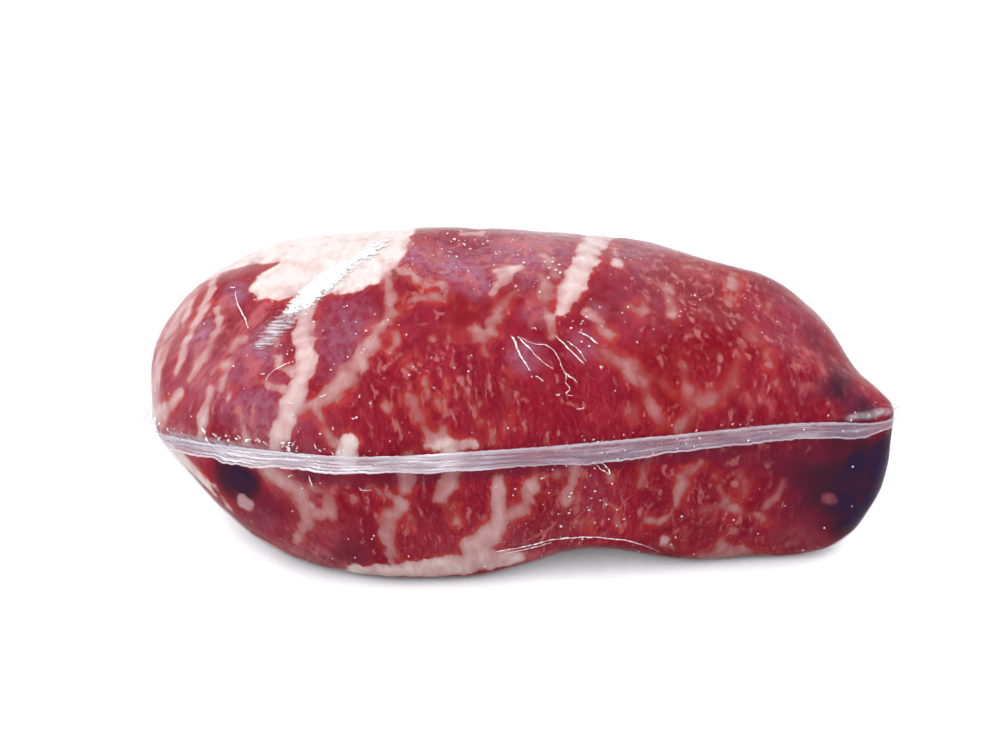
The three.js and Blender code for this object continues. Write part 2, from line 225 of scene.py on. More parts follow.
TONES = {
    # meat that air hasn't reached: brown, and almost navy at its heart; the same spots also paint shade where
    # the sides turn away at both ends, under the weld at the left, and along the bottom and the hollow's lip
    "dark_and_shade": [(882, 472, 42, 1.2), (892, 450, 30, 0.8), (856, 470, 34, 0.45), (830, 470, 44, 0.36),
        (790, 460, 36, 0.35), (752, 454, 34, 0.28), (720, 456, 24, 0.2), (860, 506, 40, 0.55),
        (836, 500, 44, 0.34), (804, 500, 48, 0.32), (880, 512, 26, 0.6), (858, 534, 30, 0.4),
        (826, 540, 34, 0.22), (766, 530, 40, 0.14), (704, 520, 60, 0.12), (856, 430, 26, 0.5),
        (832, 440, 20, 0.3), (850, 396, 22, 0.5), (868, 408, 16, 0.5), (842, 374, 18, 0.4),
        (830, 386, 20, 0.5), (812, 334, 20, 0.3), (826, 352, 22, 0.2), (800, 392, 30, 0.2),
        (228, 470, 22, 0.9), (247, 482, 19, 0.9), (222, 488, 16, 0.5), (240, 498, 18, 0.5),
        (262, 508, 28, 0.4), (300, 528, 30, 0.16), (350, 530, 36, 0.12), (430, 530, 36, 0.1),
        (345, 556, 26, 0.3), (380, 556, 40, 0.15), (660, 552, 30, 0.2)],
    # a painted grey lilac sheen: the film's reflection where it stands off a little
    "painted_film_sheen": [(412, 252, 22, 0.8), (436, 258, 30, 0.8), (462, 272, 26, 0.9), (480, 286, 20, 0.7),
        (235, 292, 18, 0.9), (196, 340, 14, 1.0), (205, 326, 12, 0.8), (345, 325, 44, 0.5),
        (262, 345, 28, 0.7), (255, 385, 54, 0.35), (530, 262, 44, 0.5), (535, 312, 18, 0.6),
        (596, 310, 14, 0.5), (526, 356, 22, 0.7), (585, 345, 22, 0.5), (640, 300, 60, 0.2),
        (300, 430, 40, 0.2), (260, 420, 40, 0.35), (590, 500, 40, 0.15), (500, 244, 50, 0.6),
        (560, 246, 40, 0.55), (200, 380, 60, 0.35), (640, 250, 40, 0.4), (340, 362, 30, 0.4),
        (262, 520, 22, 0.4), (790, 318, 50, 0.25), (860, 404, 20, 0.4), (300, 545, 40, 0.1)],
    # a pale bloom of light over the end on the brighter side
    "veil": [(160, 330, 34, 0.6), (150, 390, 30, 0.65), (184, 284, 34, 0.6), (225, 258, 30, 0.5),
        (156, 425, 26, 0.6), (196, 370, 50, 0.15), (250, 330, 40, 0.12), (184, 440, 30, 0.35),
        (330, 238, 60, 0.25), (450, 232, 60, 0.1), (545, 244, 60, 0.12), (700, 262, 40, 0.1),
        (260, 440, 40, 0.2), (300, 480, 40, 0.2), (800, 545, 40, 0.15)],
    # the brightest red
    "bright": [(470, 300, 26, 0.9), (456, 318, 22, 0.8), (700, 340, 80, 0.8), (560, 395, 50, 0.5),
        (640, 440, 60, 0.5), (600, 305, 26, 0.8), (430, 420, 60, 0.4), (660, 395, 30, 0.8),
        (390, 390, 50, 0.3), (775, 415, 40, 0.6), (290, 386, 12, 1.0), (480, 243, 20, 0.6),
        (650, 360, 40, 0.5), (270, 318, 14, 0.7), (550, 520, 50, 0.5), (500, 400, 40, 0.3)],
    # how thick the flecks of marbling lie
    "flecked": [(420, 390, 70, 1.0), (540, 420, 70, 0.5), (740, 320, 120, 0.75), (840, 370, 60, 0.5),
        (470, 380, 60, 0.4), (640, 470, 80, 0.35), (430, 510, 80, 0.6), (560, 530, 80, 0.6),
        (700, 500, 110, 0.35), (190, 340, 60, 0.6), (235, 400, 60, 0.8), (250, 440, 40, 0.6),
        (380, 520, 60, 0.3), (660, 260, 60, 0.7), (300, 530, 60, 0.2), (500, 250, 60, 0.6),
        (200, 350, 60, 0.4)],
    # where the marbling joins up into a net
    "netted": [(600, 510, 90, 0.45), (720, 500, 110, 0.35), (700, 340, 70, 0.25), (820, 380, 60, 0.4),
        (330, 460, 40, 0.4), (450, 262, 60, 0.7), (530, 250, 60, 0.9), (430, 300, 40, 0.8)],
}

# How thick the bubbles lie under the film, as (u, v, radius, strength).
SPARKLING = [(500, 262, 60, 0.9), (345, 340, 60, 0.7), (590, 325, 50, 0.7), (575, 500, 70, 0.7),
    (430, 250, 40, 0.7), (260, 340, 50, 0.4), (420, 400, 80, 0.3), (660, 300, 60, 0.3)]

# Which way the fibre leans, as (u, v, radius, degrees from upright): a muscle each.
LEANS = [(250, 360, 90, -24), (420, 380, 110, 9), (560, 400, 90, 12), (700, 300, 110, 6),
    (820, 330, 80, 14), (300, 520, 90, 16), (420, 500, 80, 14), (700, 500, 120, -6)]

# The shade that the weld throws on the meat just under it.
WELD_SHADE = {
    "left": [(300, 476, 3), (350, 480, 4), (400, 478, 4), (450, 474, 4), (500, 470, 4)],
    "right": [(500, 470, 4), (560, 464, 4), (620, 459, 5), (680, 453, 6), (740, 448, 7), (800, 444, 7),
        (850, 440, 6)],
}

# Sharp folds in the film, their glints painted white, as (u, v, half width).
FILM_CREASES = {
    "spark 1": [(511, 336, 0.5), (514, 340, 1.7), (517, 348, 1.3), (520, 355, 1.2), (525, 363, 1.1),
        (530, 371, 0.4)],
    "spark 2": [(518, 337, 0.5), (525, 344, 1.1), (531, 350, 1.0), (535, 355, 0.6), (543, 362, 0.5),
        (553, 369, 0.3)],
    "spark 3": [(521, 338, 0.3), (534, 344, 0.5), (545, 345, 0.8), (554, 351, 0.6), (560, 361, 0.7),
        (561, 366, 0.6), (566, 375, 0.6), (566, 383, 0.5), (570, 389, 0.6), (566, 394, 0.5),
        (573, 396, 0.3)],
    "spark 4": [(556, 336, 0.4), (564, 344, 0.9), (573, 353, 0.9), (584, 364, 0.5)],
    "spark 5": [(567, 341, 0.4), (577, 348, 0.8), (582, 355, 0.7), (586, 361, 0.3)],
    "spark 6": [(579, 332, 0.5), (583, 334, 1.3), (589, 337, 0.9), (594, 341, 1.0), (598, 344, 0.4)],
    "spark 7": [(535, 376, 0.4), (539, 378, 0.9), (543, 381, 0.4)],
    "spark 8": [(576, 409, 0.3), (580, 409, 0.8), (584, 408, 0.3)],
    "spark 9": [(556, 395, 0.4), (558, 395, 1.5), (560, 395, 0.4)],
    "spark 10": [(600, 366, 0.4), (601, 368, 1.1), (602, 370, 0.4)],
    "spark 11": [(531, 329, 0.4), (534, 328, 1.1), (537, 330, 0.4)],
    "spark 12": [(565, 372, 0.4), (569, 376, 0.9), (574, 379, 0.9), (577, 383, 0.3)],
    "left fold": [(235.6, 292, 0.4), (236.6, 300, 0.7), (240.3, 310, 1.3), (245, 319, 1.3),
        (248, 328, 0.6)],
    "left spark": [(229, 287.6, 0.5), (232.3, 287.6, 1.3), (235, 287.6, 0.5)],
    "left spark 2": [(261, 374, 0.6), (263, 374, 1.3), (265, 374, 0.6)],
    "left spark 3": [(320, 397, 0.5), (323, 396, 1.1), (326, 395, 0.5)],
    "left spark 4": [(289, 403, 0.4), (291, 403.6, 0.9), (294, 404, 0.4)],
    "left thread": [(290, 362.6, 0.4), (279, 367.4, 0.6), (270, 374, 0.6), (266, 380, 0.3)],
    "top arc": [(360, 247, 0.3), (364, 250, 0.6), (366, 255, 0.3)],
    "below fin": [(309, 475, 0.6), (310.5, 481, 1.0), (312, 486, 0.6)],
    "below fin 2": [(286, 480, 0.4), (289, 476, 0.7), (293, 475, 0.4)],
    "below fin 3": [(359, 487, 0.4), (362, 490, 0.8), (371, 490, 0.4)],
    "loop": [(593, 461, 0.5), (599, 467.5, 0.8), (605, 471.5, 0.9), (609.5, 474, 0.9), (608.5, 470, 0.8),
        (604, 464.5, 0.7), (599, 461, 0.5)],
    "hollow lip": [(494, 552, 0.3), (512, 549, 0.9), (531, 545, 0.9), (548, 540.5, 0.8), (566, 538, 1.0),
        (590, 537, 0.8), (610, 538.5, 0.9), (630, 541, 0.7), (646, 546, 0.5), (660, 552, 0.3)],
    "hollow lip 2": [(505, 553, 0.3), (522, 550, 0.6), (538, 546, 0.6), (552, 542, 0.3)],
}

# The larger bubbles and drops under the film, their glints painted white, as (u, v, radius).
DROPS = [
    (454, 239.6, 1.3), (464, 244, 0.9), (470, 249, 1.1), (483, 244, 1.0), (488, 241.4, 1.1),
    (456.6, 256.6, 1.0), (496, 254, 0.9), (518, 255, 1.0), (524, 263, 1.4), (447.6, 234, 0.9),
    (545, 262, 1.0), (549, 268, 1.1), (553, 262, 1.0), (556, 270, 1.1), (559, 265, 1.2), (548, 278, 1.3),
    (560, 273, 1.0), (516, 286, 1.4), (344, 307, 0.9), (366, 331, 0.9), (306, 314.6, 1.2), (314, 322, 1.0),
    (375, 314.6, 0.8), (356, 334, 0.8), (356.6, 417.6, 1.1), (353, 418.6, 0.9), (333, 427.6, 1.1),
    (388, 320, 0.8), (586.6, 317, 1.1), (581.4, 324, 1.0), (571, 328, 0.9), (434, 387.6, 1.1),
    (601.4, 367.4, 1.2), (591, 498, 1.0), (600, 500, 0.9), (606, 504, 0.9), (595, 491, 0.8),
    (561, 526, 1.2), (569, 513, 1.1), (571, 493, 0.9), (585, 487, 0.8), (682, 516, 1.2), (624, 519, 0.9),
    (589, 509.6, 0.9), (617, 509.6, 0.8), (595, 522.6, 0.9), (542, 478, 1.3), (700, 300, 0.9),
]

# The bulge of lifted film at the upper left, whose white glare is a painted highlight, and its wrinkled end,
# which looks brushed and whose sheen is painted too.
GLARE_BANDS = {
    "streak": [(288, 313, 3), (296, 306, 6), (309, 296, 9.5), (322, 285, 9), (336, 274, 6.4), (350, 264, 5),
        (364, 255, 2.5)],
    "streak top": [(350, 262, 3), (372, 250, 5), (384, 243, 3)],
}
BRUSHED_BANDS = {
    "brush": [(260, 346, 4), (266, 340, 7), (276, 330, 9), (286, 321, 9), (294, 314, 6)],
}

# The milky webs of film between the meat and the weld, at both ends.
WEB_BANDS = {
    "web": [(172, 436, 4), (196, 442, 5), (222, 448, 7), (248, 452, 7), (276, 456, 5), (306, 459, 4)],
    "tip web": [(848, 418, 2), (866, 415, 3), (882, 412, 3), (891, 412, 2)],
}

# Stretches along the weld where the film is gathered into small folds with painted white glints, in
# millimetres
# along the length of the steak: from, to, how many, how large, and from and to how high above the weld.
GATHERS = [(-84, -66, 26, 2.2, 0.8, 3.2), (-66, -46, 36, 1.9, 0.6, 2.4), (-46, -34, 20, 1.2, 0.4, 1.8),
    (-34, 66, 28, 0.8, 0.3, 1.9), (66, 85, 36, 1.2, 0.3, 2.0)]

# The soft bulge of film that catches the lamp at the upper left, from its lower to its upper end.
GLARE_FROM, GLARE_TO = (288, 314), (364, 256)


# ---- small helpers ---------------------------------------------------------------------

def linear(hex_colour):
    """An sRGB hex colour as linear red, green, blue and alpha."""
    shares = [int(hex_colour[i:i + 2], 16) / 255 for i in (1, 3, 5)]
    light = [s / 12.92 if s <= 0.04045 else ((s + 0.055) / 1.055) ** 2.4 for s in shares]
    return (*light, 1.0)


def smooth(t):
    """0 to 1 in an S curve."""
    t = np.clip(t, 0.0, 1.0)
    return t * t * (3 - 2 * t)


def node(tree, kind, feeds=None, **settings):
    """Adds a node, sets its properties, and feeds its inputs by name or number: a socket is linked, and a
    hex colour is turned linear."""
    made = tree.nodes.new(kind)
    for key, value in settings.items():
        setattr(made, key, value)
    for key, value in (feeds or {}).items():
        if isinstance(value, bpy.types.NodeSocket):
            tree.links.new(value, made.inputs[key])
        else:
            is_colour = isinstance(value, str) and value.startswith("#")
            made.inputs[key].default_value = linear(value) if is_colour else value
    return made


# The steps that the materials are worked out with. Each has its node, the inputs that take the values given,
# in order, what its other inputs are set to, the output that is passed on, and the node's settings.
STEPS = {
    "+": ("ShaderNodeMath", (0, 1), {}, 0, {"operation": "ADD"}),
    "+ to 1": ("ShaderNodeMath", (0, 1), {}, 0, {"operation": "ADD", "use_clamp": True}),
    "-": ("ShaderNodeMath", (0, 1), {}, 0, {"operation": "SUBTRACT"}),
    "*": ("ShaderNodeMath", (0, 1), {}, 0, {"operation": "MULTIPLY"}),
    "**": ("ShaderNodeMath", (0, 1), {}, 0, {"operation": "POWER"}),
    "max": ("ShaderNodeMath", (0, 1), {}, 0, {"operation": "MAXIMUM"}),
    # an S curve of a value between two limits, from 0 to 1 or between two more values
    "ease": ("ShaderNodeMapRange", (0, 1, 2, 3, 4), {}, 0, {"interpolation_type": "SMOOTHSTEP"}),
    # two colours mixed by a share
    "mix": ("ShaderNodeMix", (0, 6, 7), {}, 2, {"data_type": "RGBA"}),
    # soft random clouds from 0 to 1, a unit across: the place, the finer layers, and their strength
    "cloud": ("ShaderNodeTexNoise", ("Vector", "Detail", "Roughness"), {"Scale": 1.0}, "Fac", {}),
    # random cells a unit across: the distance from their middles, and from the walls between them
    "cell": ("ShaderNodeTexVoronoi", ("Vector",), {"Scale": 1.0}, "Distance", {}),
    "wall": ("ShaderNodeTexVoronoi", ("Vector",), {"Scale": 1.0}, "Distance",
             {"feature": "DISTANCE_TO_EDGE"}),
}


def step(tree, name, *values):
    """One of the STEPS, worked on numbers, colours or sockets, as the socket of its result."""
    kind, inputs, others, output, settings = STEPS[name]
    return node(tree, kind, {**others, **dict(zip(inputs, values))}, **settings).outputs[output]


def object_place(tree):
    """The place on the piece, in metres."""
    return node(tree, "ShaderNodeTexCoord").outputs["Object"]


def new_material(name):
    """An empty material with its output."""
    material = bpy.data.materials.new(name)
    material.use_nodes = True
    material.node_tree.nodes.clear()
    output = material.node_tree.nodes.new("ShaderNodeOutputMaterial")
    return material, material.node_tree, output


def new_object(name, data):
    """An object in the scene."""
    made = bpy.data.objects.new(name, data)
    bpy.context.collection.objects.link(made)
    return made


def new_piece(name, mesh, material):
    """A mesh as a finished piece of the steak, on its body."""
    piece = new_object(name, mesh)
    mesh.materials.clear()
    mesh.materials.append(material)
    for face in mesh.polygons:
        face.use_smooth = True
    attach(piece, "root")
    return piece


def applied(draft):
    """The mesh of a draft object with its modifiers worked in. The draft is taken out of the scene."""
    depsgraph = bpy.context.evaluated_depsgraph_get()
    mesh = bpy.data.meshes.new_from_object(draft.evaluated_get(depsgraph))
    bpy.data.objects.remove(draft)
    return mesh


def vertex_array(mesh, what="co"):
    """Places or normals of a mesh as rows of three."""
    flat = np.empty(len(mesh.vertices) * 3, np.float32)
    mesh.vertices.foreach_get(what, flat)
    return flat.reshape(-1, 3).astype(float)


def move_vertices(mesh, places):
    """Gives a mesh new places."""
    mesh.vertices.foreach_set("co", places.astype(np.float32).ravel())
    mesh.update()


def add_field(mesh, name, values):
    """Stores a number for every vertex, for a material to read."""
    mesh.attributes.new(name, "FLOAT", "POINT").data.foreach_set("value", values.astype(np.float32))


def wander(places, size, seed):
    """A soft random number between about -1 and 1 for each place, varying over size metres."""
    shift = Vector((seed * 17.3, seed * 5.1, seed * 9.7))
    return np.array([noise.noise(Vector(p) / size + shift) for p in places])


# ---- camera and light ------------------------------------------------------------------

TENT_STRENGTH = (1.0, 1.6)  # at the horizon and overhead
TENT_RISE = (-0.1, 0.9)  # from and to where it brightens: 0 is the horizon and 1 overhead
TENT_LEFT = 0.8  # more on the left
LAMP_DISTANCE = 0.6  # metres from the film
LAMP_WIDTH = 0.02
LAMP_WATTS = 0.12
FLOOR_HALF = 1.6  # half the table's side
FLOOR_HOLLOW = 12 * MM  # how far off a hollow's roof still darkens the table
# How the table glows as it lies more open: between which two opennesses, and how much more.
FLOOR_GLOWS = ((0.15, 0.35, 0.8), (0.3, 0.62, 0.25))


def make_camera():
    """The camera, above the front edge and looking down on it."""
    data = bpy.data.cameras.new("camera")
    data.sensor_width = SENSOR_WIDTH
    data.lens = PICTURE_SCALE * VIEW_DISTANCE / MM / PICTURE_WIDTH * SENSOR_WIDTH
    camera = new_object("camera", data)
    back = Vector((0, -math.cos(VIEW_ELEVATION), math.sin(VIEW_ELEVATION)))
    camera.location = VIEW_AIM + back * VIEW_DISTANCE
    camera.rotation_euler = (-back).to_track_quat("-Z", "Y").to_euler()
    bpy.context.scene.camera = camera
    return camera


def strip_light(name, end_a, end_b, aim, width, watts):
    """A long lamp between two points, facing aim."""
    data = bpy.data.lights.new(name, "AREA")
    data.shape = "RECTANGLE"
    data.size, data.size_y = (end_b - end_a).length, width
    data.energy = watts
    middle = (end_a + end_b) / 2
    out = (middle - aim).normalized()
    along = (end_b - end_a).normalized()
    across = out.cross(along).normalized()
    along = across.cross(out)
    turn = Matrix((along, across, out)).transposed()
    lamp = new_object(name, data)
    lamp.matrix_world = Matrix.Translation(middle) @ turn.to_4x4()
    return lamp


def white_tent():
    """Light from all round, stronger from above and from the left."""
    world = bpy.data.worlds.new("white tent")
    world.use_nodes = True
    tree = world.node_tree
    way = node(tree, "ShaderNodeTexCoord").outputs["Generated"]
    axes = node(tree, "ShaderNodeSeparateXYZ", {0: way}).outputs
    strength = step(tree, "ease", axes["Z"], *TENT_RISE, *TENT_STRENGTH)
    strength = step(tree, "+", strength, step(tree, "ease", axes["X"], 0.0, -1.0, 0.0, TENT_LEFT))
    backdrop = tree.nodes["Background"]
    backdrop.inputs["Color"].default_value = linear("#ffffff")
    tree.links.new(strength, backdrop.inputs["Strength"])
    bpy.context.scene.world = world


def light_the_table(sight):
    """A white tent, and one long lamp that only the film's gloss sees, placed to shine along its bulge."""
    white_tent()
    ends = []
    for u, v in (GLARE_FROM, GLARE_TO):
        place, normal = sight.face(u, v)
        ray = (place - sight.eye).normalized()
        ends.append(place + (ray - 2 * ray.dot(normal) * normal) * LAMP_DISTANCE)
    aim = (sight.place(*GLARE_FROM) + sight.place(*GLARE_TO)) / 2
    lamp = strip_light("long lamp", *ends, aim, LAMP_WIDTH, LAMP_WATTS)
    lamp.visible_diffuse = False
    view = bpy.context.scene.view_settings
    view.view_transform = "Standard"
    view.look = "None"


def white_table_top():
    """A matt white table top. The eye sees it glow burnt out to white, by an emission only the camera
    sees, and darker in the tight hollows under the steak, where the glow is held back as painted shade."""
    material, tree, output = new_material("white table top with painted glow")
    tint = step(tree, "mix", step(tree, "cloud", object_place(tree), 3.0), "#dbdbdc", "#dfdfdf")
    openness = node(tree, "ShaderNodeAmbientOcclusion", {"Distance": FLOOR_HOLLOW}, samples=4).outputs["AO"]
    glows = [step(tree, "ease", openness, low, high, 0.0, more) for low, high, more in FLOOR_GLOWS]
    glow = step(tree, "+", *glows)
    burnt = node(tree, "ShaderNodeBsdfPrincipled", {
        "Base Color": "#a1a0ab", "Roughness": 0.7, "Emission Color": "#ffffff", "Emission Strength": glow})
    plain = node(tree, "ShaderNodeBsdfDiffuse", {"Color": tint})
    seen = node(tree, "ShaderNodeLightPath").outputs["Is Camera Ray"]
    surface = node(tree, "ShaderNodeMixShader", {0: seen, 1: plain.outputs[0], 2: burnt.outputs[0]})
    tree.links.new(surface.outputs[0], output.inputs["Surface"])
    return material


def make_floor():
    """The table that the steak lies on."""
    mesh = bpy.data.meshes.new("floor")
    corners = [(x * FLOOR_HALF, y * FLOOR_HALF, 0) for x, y in ((-1, -1), (1, -1), (1, 1), (-1, 1))]
    mesh.from_pydata(corners, [], [(0, 1, 2, 3)])
    mesh.materials.append(white_table_top())
    floor = new_object("floor", mesh)


# ---- the even skin of the steak, and what lies behind a place in the picture ---------------------

# How far apart a skin's points are, and how often it is smoothed.
SIGHT_MESH = (1.5 * MM, 4)
BEEF_MESH = (0.75 * MM, 6)
FILM_MESH = (0.95 * MM, 8)

QUAD_BEND, QUAD_SKEW = 0.7, 3.2  # how bent and how skew a pair of facets may be and still be joined
SPOT_DEPTH = 0.3  # how much shallower distances count along the line of sight
RIM_STEP = 6 * MM  # between the stops of the search for the rim of the view
RIM_STOPS = 8  # to each side


def even_skin(spacing, rounds):
    """The CAD steak with its facets rounded off and its faces all of one size."""
    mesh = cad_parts["steak"].data.copy()
    shape = bmesh.new()
    shape.from_mesh(mesh)
    bmesh.ops.remove_doubles(shape, verts=shape.verts, dist=1e-3 * MM)
    bmesh.ops.join_triangles(shape, faces=shape.faces, angle_face_threshold=QUAD_BEND,
                             angle_shape_threshold=QUAD_SKEW)
    shape.to_mesh(mesh)
    shape.free()
    draft = new_object("draft", mesh)
    rounded = draft.modifiers.new("rounded", "SUBSURF")
    rounded.levels = rounded.render_levels = 2
    remesh = draft.modifiers.new("even", "REMESH")
    remesh.mode = "VOXEL"
    remesh.voxel_size = spacing
    relax = draft.modifiers.new("relax", "SMOOTH")
    relax.factor = 0.5
    relax.iterations = rounds
    return applied(draft)


class Sight:
    """Finds the place on the meat that lies behind a place in the picture."""

    def __init__(self, camera, skin):
        bpy.context.view_layer.update()
        turn = camera.matrix_world.to_3x3()
        self.eye = camera.matrix_world.translation.copy()
        self.right, self.up, self.ahead = turn.col[0].copy(), turn.col[1].copy(), -turn.col[2]
        self.focal = PICTURE_SCALE * VIEW_DISTANCE / MM
        self.tree = BVHTree.FromPolygons([v.co for v in skin.vertices], [p.vertices for p in skin.polygons])

    def face(self, u, v):
        """The place there, or the nearest on the rim of what is in view, and the way the surface faces."""
        across = (u - PICTURE_WIDTH / 2) * self.right
        along = (PICTURE_HEIGHT / 2 - v) * self.up
        line = (self.ahead * self.focal + across + along).normalized()
        place, normal = self.tree.ray_cast(self.eye, line)[:2]
        if place is None:
            reach = (VIEW_AIM - self.eye).dot(line)
            stops = [self.eye + line * (reach + k * RIM_STEP) for k in range(-RIM_STOPS, RIM_STOPS + 1)]
            found = min((self.tree.find_nearest(stop) for stop in stops), key=lambda near: near[3])
            place, normal = found[:2]
        return place, normal

    def place(self, u, v):
        """The place alone."""
        return self.face(u, v)[0]

    def slant(self, place, normal):
        """1 where the surface faces the eye, 0 at the edge of the view and below 0 out of sight."""
        return normal.dot((self.eye - place).normalized())

    def flattened(self, places):
        """Places drawn together along the line of sight, so that round spots look round where the meat
        turns away."""
        ahead = np.array(self.ahead)
        return places - np.outer(places @ ahead, ahead) * (1 - SPOT_DEPTH)


# ---- fields of fat and tone ------------------------------------------------------------------

BEAD_STEP = 0.8  # millimetres between the beads that draw a band
FLECK_WHITE = 0.28  # how white a lone fleck is
FLECK_LEAN = 0.14  # how far it leans, by its length
FLECK_TIP = 0.4  # how wide its tips are, by its width
WHITE_BLEND = 0.6  # millimetres over which one band's whiteness gives way to another's
WHITE_REACH = 8  # millimetres from its rim past which a band's pull stays as it is
SPOT_REACH = 1.15  # how far a spot of tone is felt, by its radius, fading over the last radius
HIDDEN_BANDS = 0.35  # how far past the edge of the view bands are repeated, as a slant
HIDDEN_SPOTS = 0.4  # and spots of tone
# How the fibre wavers, as (by how many millimetres, over how many, seed).
WAVERS_ACROSS = [(2.2, 17, 11), (0.8, 6, 12)]
WAVERS_ALONG = [(2.0, 15, 13)]


def beads_along(sight, band):
    """Beads (x, y, z, radius) laid on the meat along a band."""
    beads = []
    for (u0, v0, r0), (u1, v1, r1) in zip(band, band[1:]):
        count = max(1, round(math.hypot(u1 - u0, v1 - v0) / PICTURE_SCALE / BEAD_STEP))
        for k in range(count + 1):
            s = k / count
            place = sight.place(u0 + (u1 - u0) * s, v0 + (v1 - v0) * s)
            beads.append((*place, (r0 + (r1 - r0) * s) / PICTURE_SCALE * MM))
    return beads


def lone_fleck(u, v, half_width, half_length):
    """A short tapered band that leans with the fibre."""
    lean, tip = FLECK_LEAN * half_length, FLECK_TIP * half_width
    return [(u - lean, v - half_length, tip), (u, v, half_width), (u + lean, v + half_length, tip)]


def with_hidden_side(sight, rows, past):
    """Beads or spots, and the same turned half round the steak's length where they come to lie well past
    the edge of what is in view, so that the hidden sides are as rich as the front."""
    thickness = cad_box[1].z
    hidden = []
    for x, y, z, *rest in rows:
        place, normal = sight.tree.find_nearest(Vector((x, -y, thickness - z)))[:2]
        if sight.slant(place, normal) < -past:
            hidden.append((*place, *rest))
    return np.array(list(rows) + hidden)


def band_gap(sight, places, band, hidden=True):
    """Distance from each place to a band's rim, in millimetres. Below 0 is inside."""
    beads = beads_along(sight, band)
    beads = with_hidden_side(sight, beads, HIDDEN_BANDS) if hidden else np.array(beads)
    centres, flat = sight.flattened(beads[:, :3]), sight.flattened(places)
    away = np.zeros((len(flat), len(beads)))
    for axis in range(3):
        away += (flat[:, axis, None] - centres[None, :, axis]) ** 2
    return (np.sqrt(away) - beads[None, :, 3]).min(axis=1) / MM


def gap_field(sight, places, bands, hidden=True):
    """Distance from each place to the rim of the nearest of several bands."""
    return np.min([band_gap(sight, places, band, hidden) for band in bands], axis=0)


def fat_fields(sight, places):
    """The gap to the nearest fat, and how white the fat there is."""
    bands = list(FAT_BANDS.values()) + [(FLECK_WHITE, lone_fleck(*fleck)) for fleck in LONE_FLECKS]
    nearest = np.full(len(places), np.inf)
    white, weights = np.zeros(len(places)), np.full(len(places), 1e-9)
    for whiteness, band in bands:
        gap = band_gap(sight, places, band)
        nearest = np.minimum(nearest, gap)
        weight = np.exp(-np.clip(gap, -WHITE_REACH, WHITE_REACH) / WHITE_BLEND)
        white += weight * whiteness
        weights += weight
    return nearest, white / weights


def tone_field(sight, places, spots, hidden):
    """The sum of soft round spots of tone at each place."""
    rows = [(*sight.place(u, v), radius / PICTURE_SCALE * MM, strength) for u, v, radius, strength in spots]
    rows = with_hidden_side(sight, rows, HIDDEN_SPOTS) if hidden else np.array(rows)
    centres, flat = sight.flattened(rows[:, :3]), sight.flattened(places)
    total = np.zeros(len(flat))
    for centre, radius, strength in zip(centres, rows[:, 3], rows[:, 4]):
        total += strength * smooth(SPOT_REACH - np.linalg.norm(flat - centre, axis=1) / radius)
    return np.clip(total, 0, 1)


def wavering(places, wavers):
    """How far each place is pushed aside, in metres."""
    return sum(far * MM * wander(places, over * MM, seed) for far, over, seed in wavers)


def fibre_field(sight, places):
    """For each place, how far it is across the fibre, along it and into the meat, in metres. The fibre
    runs up the front and over the top, and each muscle leans its own way."""
    rise, depth = places @ np.array(sight.up), places @ np.array(sight.ahead)
    lean, weights = np.zeros(len(places)), np.full(len(places), 1e-6)
    for u, v, radius, degrees in LEANS:
        centre = np.array(sight.place(u, v))
        reach = radius / PICTURE_SCALE * MM
        weight = np.exp(-((np.linalg.norm(places - centre, axis=1) / reach) ** 2))
        lean += weight * math.tan(math.radians(degrees)) * (rise - centre @ np.array(sight.up))
        weights += weight
    across = places[:, 0] + lean / weights + wavering(places, WAVERS_ACROSS)
    along = rise + wavering(places, WAVERS_ALONG)
    return np.stack([across, along, depth], axis=1)


# ---- the meat ------------------------------------------------------------------------------

# Lean: two reds, the brightest, and what lies over them.
LEAN, LEAN_LIGHT, LEAN_BRIGHT = "#7c1226", "#8d1b2d", "#7a0a13"
LEAN_WASHED, LEAN_RIM, LEAN_GRAIN, LEAN_COMB = "#9a3a45", "#b8412d", "#a84c56", "#5c0c1e"
# The lilac and the pale veil are painted light: the film's sheen and a bloom of light.
FINE_MARBLING, FAT_UNDER_LEAN, PAINTED_LILAC_SHEEN, PALE_VEIL = "#ab6764", "#b0595c", "#926079", "#c68f94"
# Meat that air hasn't reached, and painted shade, from the edge of the dark to its heart, and fat in it.
DARK_BROWN, DARK_GREY, DARK_NAVY, DARK_FAT = "#561c2f", "#341c29", "#2a1b38", "#54304c"
# Firm fat, from thin to thick.
FAT_COLOURS = [(0.0, "#863339"), (0.125, "#8c3d3f"), (0.28, "#97595a"), (0.44, "#a57272"),
               (0.59, "#b08889"), (0.75, "#bd9d9d"), (0.88, "#c8b4b1"), (1.0, "#cfc5c3")]
FAT_THINNEST, FAT_RANGE = -0.2, 1.6  # the whitenesses that they span

FILM_GAP = 0.25 * MM  # between the meat and the film's outer face
FURROW = (0.25, 1.1)  # along the rim of the fat: how deep, and how wide to each side, in millimetres
KNOBS = (0.18, 5)  # the meat's unevenness: how high and how long, in millimetres
KNOB_LIMIT = 0.1  # and how far it may stand out, so that it stays under the film
SHADE_WIDTH = 2.2  # millimetres over which the shade of the weld fades
SHADE_STRENGTH = 0.36


def field(tree, name):
    """A stored number of the mesh."""
    return node(tree, "ShaderNodeAttribute", attribute_name=name).outputs["Fac"]


def cells(tree, vector, *sizes):
    """A pattern space of unit cells that are so many millimetres along each axis."""
    scale = tuple(1 / (size * MM) for size in sizes)
    return node(tree, "ShaderNodeVectorMath", {0: vector, 1: scale}, operation="MULTIPLY").outputs[0]


def offset(tree, value, middle, factor):
    """A pattern's swing round its middle, times a factor."""
    return step(tree, "*", step(tree, "-", value, middle), factor)


